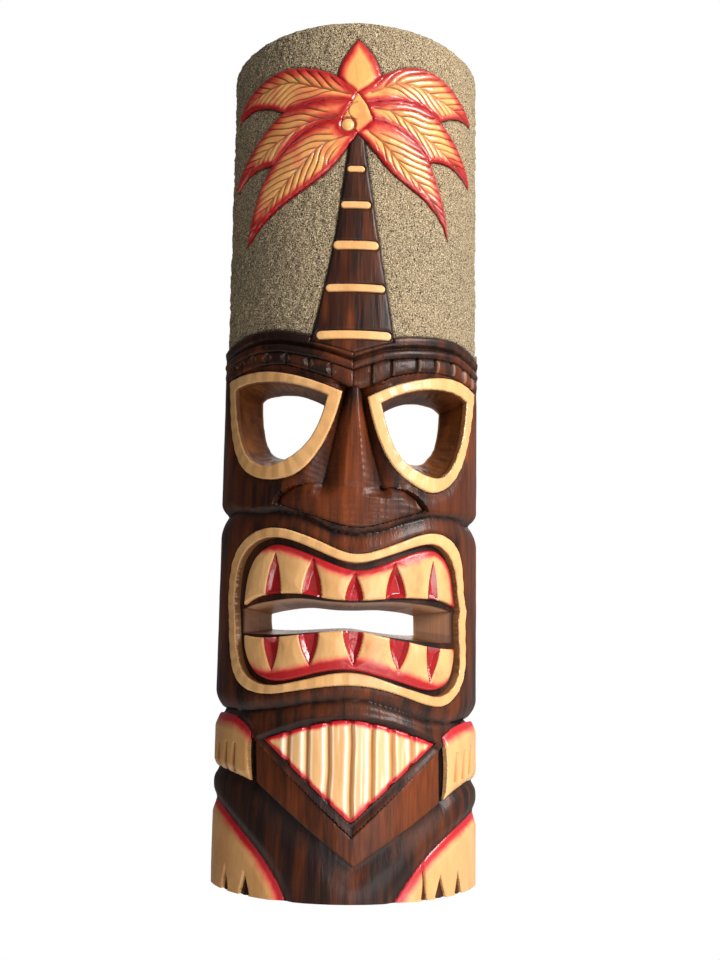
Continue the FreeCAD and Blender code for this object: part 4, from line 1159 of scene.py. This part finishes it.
def back_point(s, z):
    """The wall side of the shell: flat land, the hollow and the hanger's pocket."""
    angle = s / LOG_R
    radius = AXIS_Y / np.cos(angle)
    in_hollow = (z > HOLLOW_LOW) & (z < HOLLOW_HIGH)
    gouge = 2.2 * (cloud(s / 8.0, z / 14.0, 191) - 0.5) * smooth((LOG_R * 1.12 - np.abs(s)) / 8.0)
    radius = np.where(in_hollow, np.maximum(radius, HOLLOW_R + gouge), radius)
    across = np.maximum(np.abs(np.sin(angle)), 1e-6)
    pocket = np.minimum((AXIS_Y + POCKET_DEPTH) / np.cos(angle), POCKET_HALF / across)
    in_pocket = (z > HOLLOW_HIGH - 1.0) & (z < HOLLOW_HIGH + POCKET_HEIGHT)
    radius = np.where(in_pocket, np.maximum(radius, pocket), radius)
    return np.column_stack([radius * np.sin(angle), AXIS_Y - radius * np.cos(angle), z]) * MM


def counter_clockwise(loop):
    return loop if area(loop) > 0 else loop[::-1]


# How far apart the shell's points stand, and where the sanded head begins
FINE_STEP, COARSE_STEP, HEAD_FOOT = 0.92, 5.0, 320

# Each opening at the back: its middle, then its scale inwards, outwards, downwards and upwards
OPENING_TAPER = [
    (-44.0, 262.0, 0.85, 1.14, 0.69, 0.86),
    (46.0, 260.0, 0.85, 1.12, 0.60, 0.82),
    (-6.0, 151.0, 0.77, 0.895, 0.62, 0.62),
]


def shell_front(rim, holes):
    """The carved side, meshed finely where the dark wood shows."""
    s, z = (part.ravel() for part in staggered(FINE_STEP, (-S_MAX, 0), (S_MAX, HEAD_FOOT)))
    covered = relief(s, z)[3]
    s2, z2 = (part.ravel() for part in staggered(COARSE_STEP, (-S_MAX, 0), (S_MAX, HEIGHT)))
    keep2 = relief(s2, z2)[3]
    keep2 |= z2 > 322
    s = np.concatenate([s[~covered & (z < 318)], s2[keep2]])
    z = np.concatenate([z[~covered & (z < 318)], z2[keep2]])
    free = inside([rim] + holes, s, z)
    s, z = s[free], z[free]
    clear = distance([rim] + holes, s, z, 0.5) > 0.5
    front = Region([rim] + holes, None, np.column_stack([s[clear], z[clear]]), exact=True)
    h, tint, shade, _ = relief(front.s, front.z)
    return front, on_log(front.s, front.z, h), tint, shade


def back_outlines(holes):
    """Each opening as it is at the back, smaller than in front."""
    back_holes = []
    for hole, (mid_s, mid_z, inwards, outwards, down, up) in zip(holes, OPENING_TAPER):
        ds, dz = hole[:, 0] - mid_s, hole[:, 1] - mid_z
        away = ds * np.sign(mid_s) > 0
        shrunk_s = mid_s + ds * np.where(away, outwards, inwards)
        shrunk_s = np.clip(shrunk_s, -HOLLOW_SIDE + 2.5, HOLLOW_SIDE - 2.5)
        back_holes.append(np.column_stack([shrunk_s, mid_z + dz * np.where(dz > 0, up, down)]))
    return back_holes


def shell_back(rim, back_holes):
    """The wall side, with points on both sides of each sharp step."""
    fold = HOLLOW_SIDE
    cols = np.concatenate([np.arange(-92, 92.1, 4.0),
                           [-fold - 0.2, fold + 0.2, -fold + 0.2, fold - 0.2, -98, 98, -101, 101],
                           [-49.4, -48.8, 48.8, 49.4, -40.6, -39.9, 39.9, 40.6]])
    rows = np.concatenate([np.arange(4, HEIGHT - 1, 4.0),
                           [HOLLOW_LOW - 0.15, HOLLOW_LOW + 0.15, HOLLOW_HIGH - 1.15,
                           HOLLOW_HIGH - 0.85, HOLLOW_HIGH - 0.15, HOLLOW_HIGH + 0.15, HOLLOW_HIGH
                           + 34.85, HOLLOW_HIGH + 35.15]])
    s, z = (part.ravel() for part in np.meshgrid(np.unique(cols), np.unique(rows)))
    free = inside([rim] + back_holes, s, z)
    s, z = s[free], z[free]
    clear = distance([rim] + back_holes, s, z, 0.5) > 1.0
    back = Region([rim] + back_holes, None, np.column_stack([s[clear], z[clear]]), exact=True)
    return back, back_point(back.s, back.z)


def wall_marks(kind, t, out):
    """Colour of an opening's wall, with painted light and painted shade, t of the way in, where out
    points away from its middle.
    """
    lift = out[:, 1]
    if kind == "slot":
        # Painted light on the slot's upper wall near the front and on its end walls; painted shade on
        # its lower wall.
        pale = np.clip((1.15 - 2.0 * t) * (lift > 0.1), 0, 0.85) + 0.25 * (np.abs(out[:, 0]) > 0.98)
        return {"tint": 0.5, "shade": 0.3 * (lift < -0.1), "warm": 0.35, "pale": pale, "raw": 0.0}
    # Orange-brown on the eye walls, more in the left eye; on the upper walls it gives way to painted
    # shade deeper in, with more painted shade there.
    most = 0.8 if kind == "left" else 0.42
    warm = np.clip(most - 0.9 * smooth(t * 1.2 - 0.2) * (lift > 0.3), 0.1, 1)
    return {"tint": 0.3, "shade": 0.25 * (lift > 0.5), "warm": warm, "pale": 0.0, "raw": 0.0}


def make_shell():
    outer = np.array([(-S_MAX, 0.0), (S_MAX, 0.0), (S_MAX, HEIGHT), (-S_MAX, HEIGHT)])
    eye_holes = [smallest(loops) for loops in EYES]
    holes = [counter_clockwise(resample(loop, 0.8)) for loop in eye_holes + [SLOT]]
    rim = resample(outer, 1.2)
    front, front_3d, tint, shade = shell_front(rim, holes)
    back_holes = back_outlines(holes)
    back, back_3d = shell_back(rim, back_holes)

    count = len(front_3d)
    points = [front_3d, back_3d]
    faces = front.tris.tolist()
    marks = {"tint": [tint], "shade": [shade], "warm": [np.zeros(count)], "pale": [np.zeros(count)],
             "raw": [np.zeros(count)]}
    for key, value in (("tint", 0.3), ("shade", 0.0), ("warm", 0.0), ("pale", 0.0), ("raw", 1.0)):
        marks[key].append(np.full(len(back_3d), value))

    # the rim round the outside: the two sides meet at the wall, the ends are sawn flat
    front_rim, back_rim = match(front.p, rim), match(back.p, rim)
    swap = {}
    for i, (a, b) in enumerate(rim):
        if abs(a) > S_MAX - 0.01:
            swap[back_rim[i] + count] = front_rim[i]
    faces += [[swap.get(v + count, v + count) for v in tri[::-1]] for tri in back.tris.tolist()]
    for i in range(len(rim)):
        j = (i + 1) % len(rim)
        ring = [front_rim[j], front_rim[i], back_rim[i] + count, back_rim[j] + count]
        ring = [swap.get(v, v) for v in ring]
        ring = [v for k, v in enumerate(ring) if v not in ring[:k]]
        if len(ring) > 2:
            faces.append(ring)

    # walls of the openings
    size = count + len(back_3d)
    for hole, shrunk, kind in zip(holes, back_holes, ("left", "right", "slot")):
        first, last = match(front.p, hole), match(back.p, shrunk)
        arc = np.concatenate([[0.0], np.cumsum(np.linalg.norm(np.diff(hole, axis=0), axis=1))])
        a, b = front_3d[first], back_3d[last]
        middle = np.array([hole[:, 0].mean(), hole[:, 1].mean()])
        out = hole - middle
        out = out / np.linalg.norm(out, axis=1)[:, None]
        layers = [first]
        depth_rows = 12
        for k in range(1, depth_rows):
            t = k / depth_rows
            tool = noise(arc / 3.4 + 0.6 * t, np.full(len(arc), 2.6 * t), 201)
            tool = tool + 0.6 * noise(arc / 1.3, np.full(len(arc), 5.0 * t), 202)
            push = 1.1 * (tool - 0.8) * math.sin(math.pi * min(1.0, 1.15 * t))
            row = a * (1 - t) + b * t
            row[:, 0] += push * out[:, 0] * MM
            row[:, 2] += push * out[:, 1] * MM
            layers.append([size + i for i in range(len(row))])
            points.append(row)
            size += len(row)
            for key, value in wall_marks(kind, t, out).items():
                marks[key].append(np.broadcast_to(np.asarray(value, float), (len(row),)))
        layers.append([i + count for i in last])
        for upper, lower in zip(layers[:-1], layers[1:]):
            for i in range(len(hole)):
                j = (i + 1) % len(hole)
                faces.append([upper[i], upper[j], lower[j], lower[i]])
    joined = {key: np.concatenate([np.asarray(v, float) for v in values]) for key,
              values in marks.items()}
    piece = make_mesh("carved_shell_look", np.vstack(points), faces, DARK_WOOD, joined)
    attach(piece, "mask")
    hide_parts("carved_shell")


make_shell()

# ------------------------------------------------------------ hanger hardware
for name in ("hanger_strap", "hanger_ring", "hanger_screw_upper", "hanger_screw_lower"):
    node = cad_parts[name]
    for index in range(max(1, len(node.material_slots))):
        if node.material_slots:
            node.material_slots[index].material = STEEL
        else:
            node.data.materials.append(STEEL)

# ------------------------------------------------------------ camera, light and floor
EYE_POINT = Vector((0.007, -0.617, 0.120))
PITCH, ROLL = math.radians(6.5), math.radians(-0.88)
forward = Vector((0.0, math.cos(PITCH), math.sin(PITCH)))
side_way, up_way = Vector((1.0, 0.0, 0.0)), Vector((0.0, -math.sin(PITCH), math.cos(PITCH)))
turned_side = side_way * math.cos(ROLL) - up_way * math.sin(ROLL)
turned_up = up_way * math.cos(ROLL) + side_way * math.sin(ROLL)
camera_data = bpy.data.cameras.new("camera")
camera_data.lens = 38.5
camera_data.sensor_width = 36.0
camera_data.shift_y = 0.083
camera_data.clip_start = 0.01
camera = bpy.data.objects.new("camera", camera_data)
bpy.context.scene.collection.objects.link(camera)
pose = Matrix((turned_side, turned_up, -forward)).transposed().to_4x4()
pose.translation = EYE_POINT
camera.matrix_world = pose
bpy.context.scene.camera = camera


FLOOR_Z, FLOOR_RADIUS = -0.35, 1.05


def make_floor():
    """A plain pale floor, below where the mask hangs."""
    mesh = bpy.data.meshes.new("floor")
    turns = [2.0 * math.pi * step / 96 for step in range(96)]
    ring = [(FLOOR_RADIUS * math.cos(a), FLOOR_RADIUS * math.sin(a), FLOOR_Z) for a in turns]
    mesh.from_pydata(ring, [], [list(range(96))])
    plaster = Paint("pale_floor", rgb(236, 234, 230), 0.8)
    plaster.bump(plaster.pattern(60.0), 0.0005, 0.3)
    plaster.shader.inputs["Emission Color"].default_value = (1.0, 0.99, 0.97, 1.0)
    plaster.shader.inputs["Emission Strength"].default_value = 0.22
    mesh.materials.append(plaster.done())
    floor = bpy.data.objects.new("floor", mesh)
    bpy.context.scene.collection.objects.link(floor)


make_floor()


def area_light(name, place, target, power, width, height, colour=(1.0, 1.0, 1.0)):
    data = bpy.data.lights.new(name, "AREA")
    data.shape = "RECTANGLE"
    data.size, data.size_y = width, height
    data.energy = power
    data.color = colour
    lamp = bpy.data.objects.new(name, data)
    bpy.context.scene.collection.objects.link(lamp)
    lamp.location = place
    lamp.rotation_euler = (Vector(target) - Vector(place)).to_track_quat("-Z", "Y").to_euler()


area_light("key", (1.0, -0.8, 0.95), (0.0, 0.0, 0.25), 29.0, 0.6, 0.6, (1.0, 0.97, 0.93))
area_light("fill", (-0.9, -1.1, 0.6), (0.0, 0.0, 0.22), 0.8, 1.0, 1.2, (0.97, 0.98, 1.0))
area_light("back", (0.15, 1.2, 0.95), (0.0, 0.0, 0.3), 7.0, 0.8, 0.8, (1.0, 0.98, 0.95))
area_light("low", (0.35, -1.0, 0.02), (0.0, 0.0, 0.2), 3.2, 0.7, 0.3)

# A white room to look at, which lights the mask softly and mostly from the right
world = bpy.data.worlds.new("studio")
bpy.context.scene.world = world
world.use_nodes = True
sky, sky_links = world.node_tree.nodes, world.node_tree.links
toward = sky.new("ShaderNodeTexCoord")
parts_of = sky.new("ShaderNodeSeparateXYZ")
glow = sky.new("ShaderNodeMapRange")
glow.inputs["From Min"].default_value = -0.8
glow.inputs["From Max"].default_value = 1.0
glow.inputs["To Min"].default_value = 0.06
glow.inputs["To Max"].default_value = 0.44
ray = sky.new("ShaderNodeLightPath")
seen = sky.new("ShaderNodeMix")
seen.inputs["B"].default_value = 1.0
sky_links.new(toward.outputs["Generated"], parts_of.inputs["Vector"])
sky_links.new(parts_of.outputs["X"], glow.inputs["Value"])
sky_links.new(ray.outputs["Is Camera Ray"], seen.inputs["Factor"])
sky_links.new(glow.outputs["Result"], seen.inputs["A"])
sky["Background"].inputs["Color"].default_value = (1.0, 1.0, 1.0, 1.0)
sky_links.new(seen.outputs["Result"], sky["Background"].inputs["Strength"])
bpy.context.scene.view_settings.view_transform = "Standard"
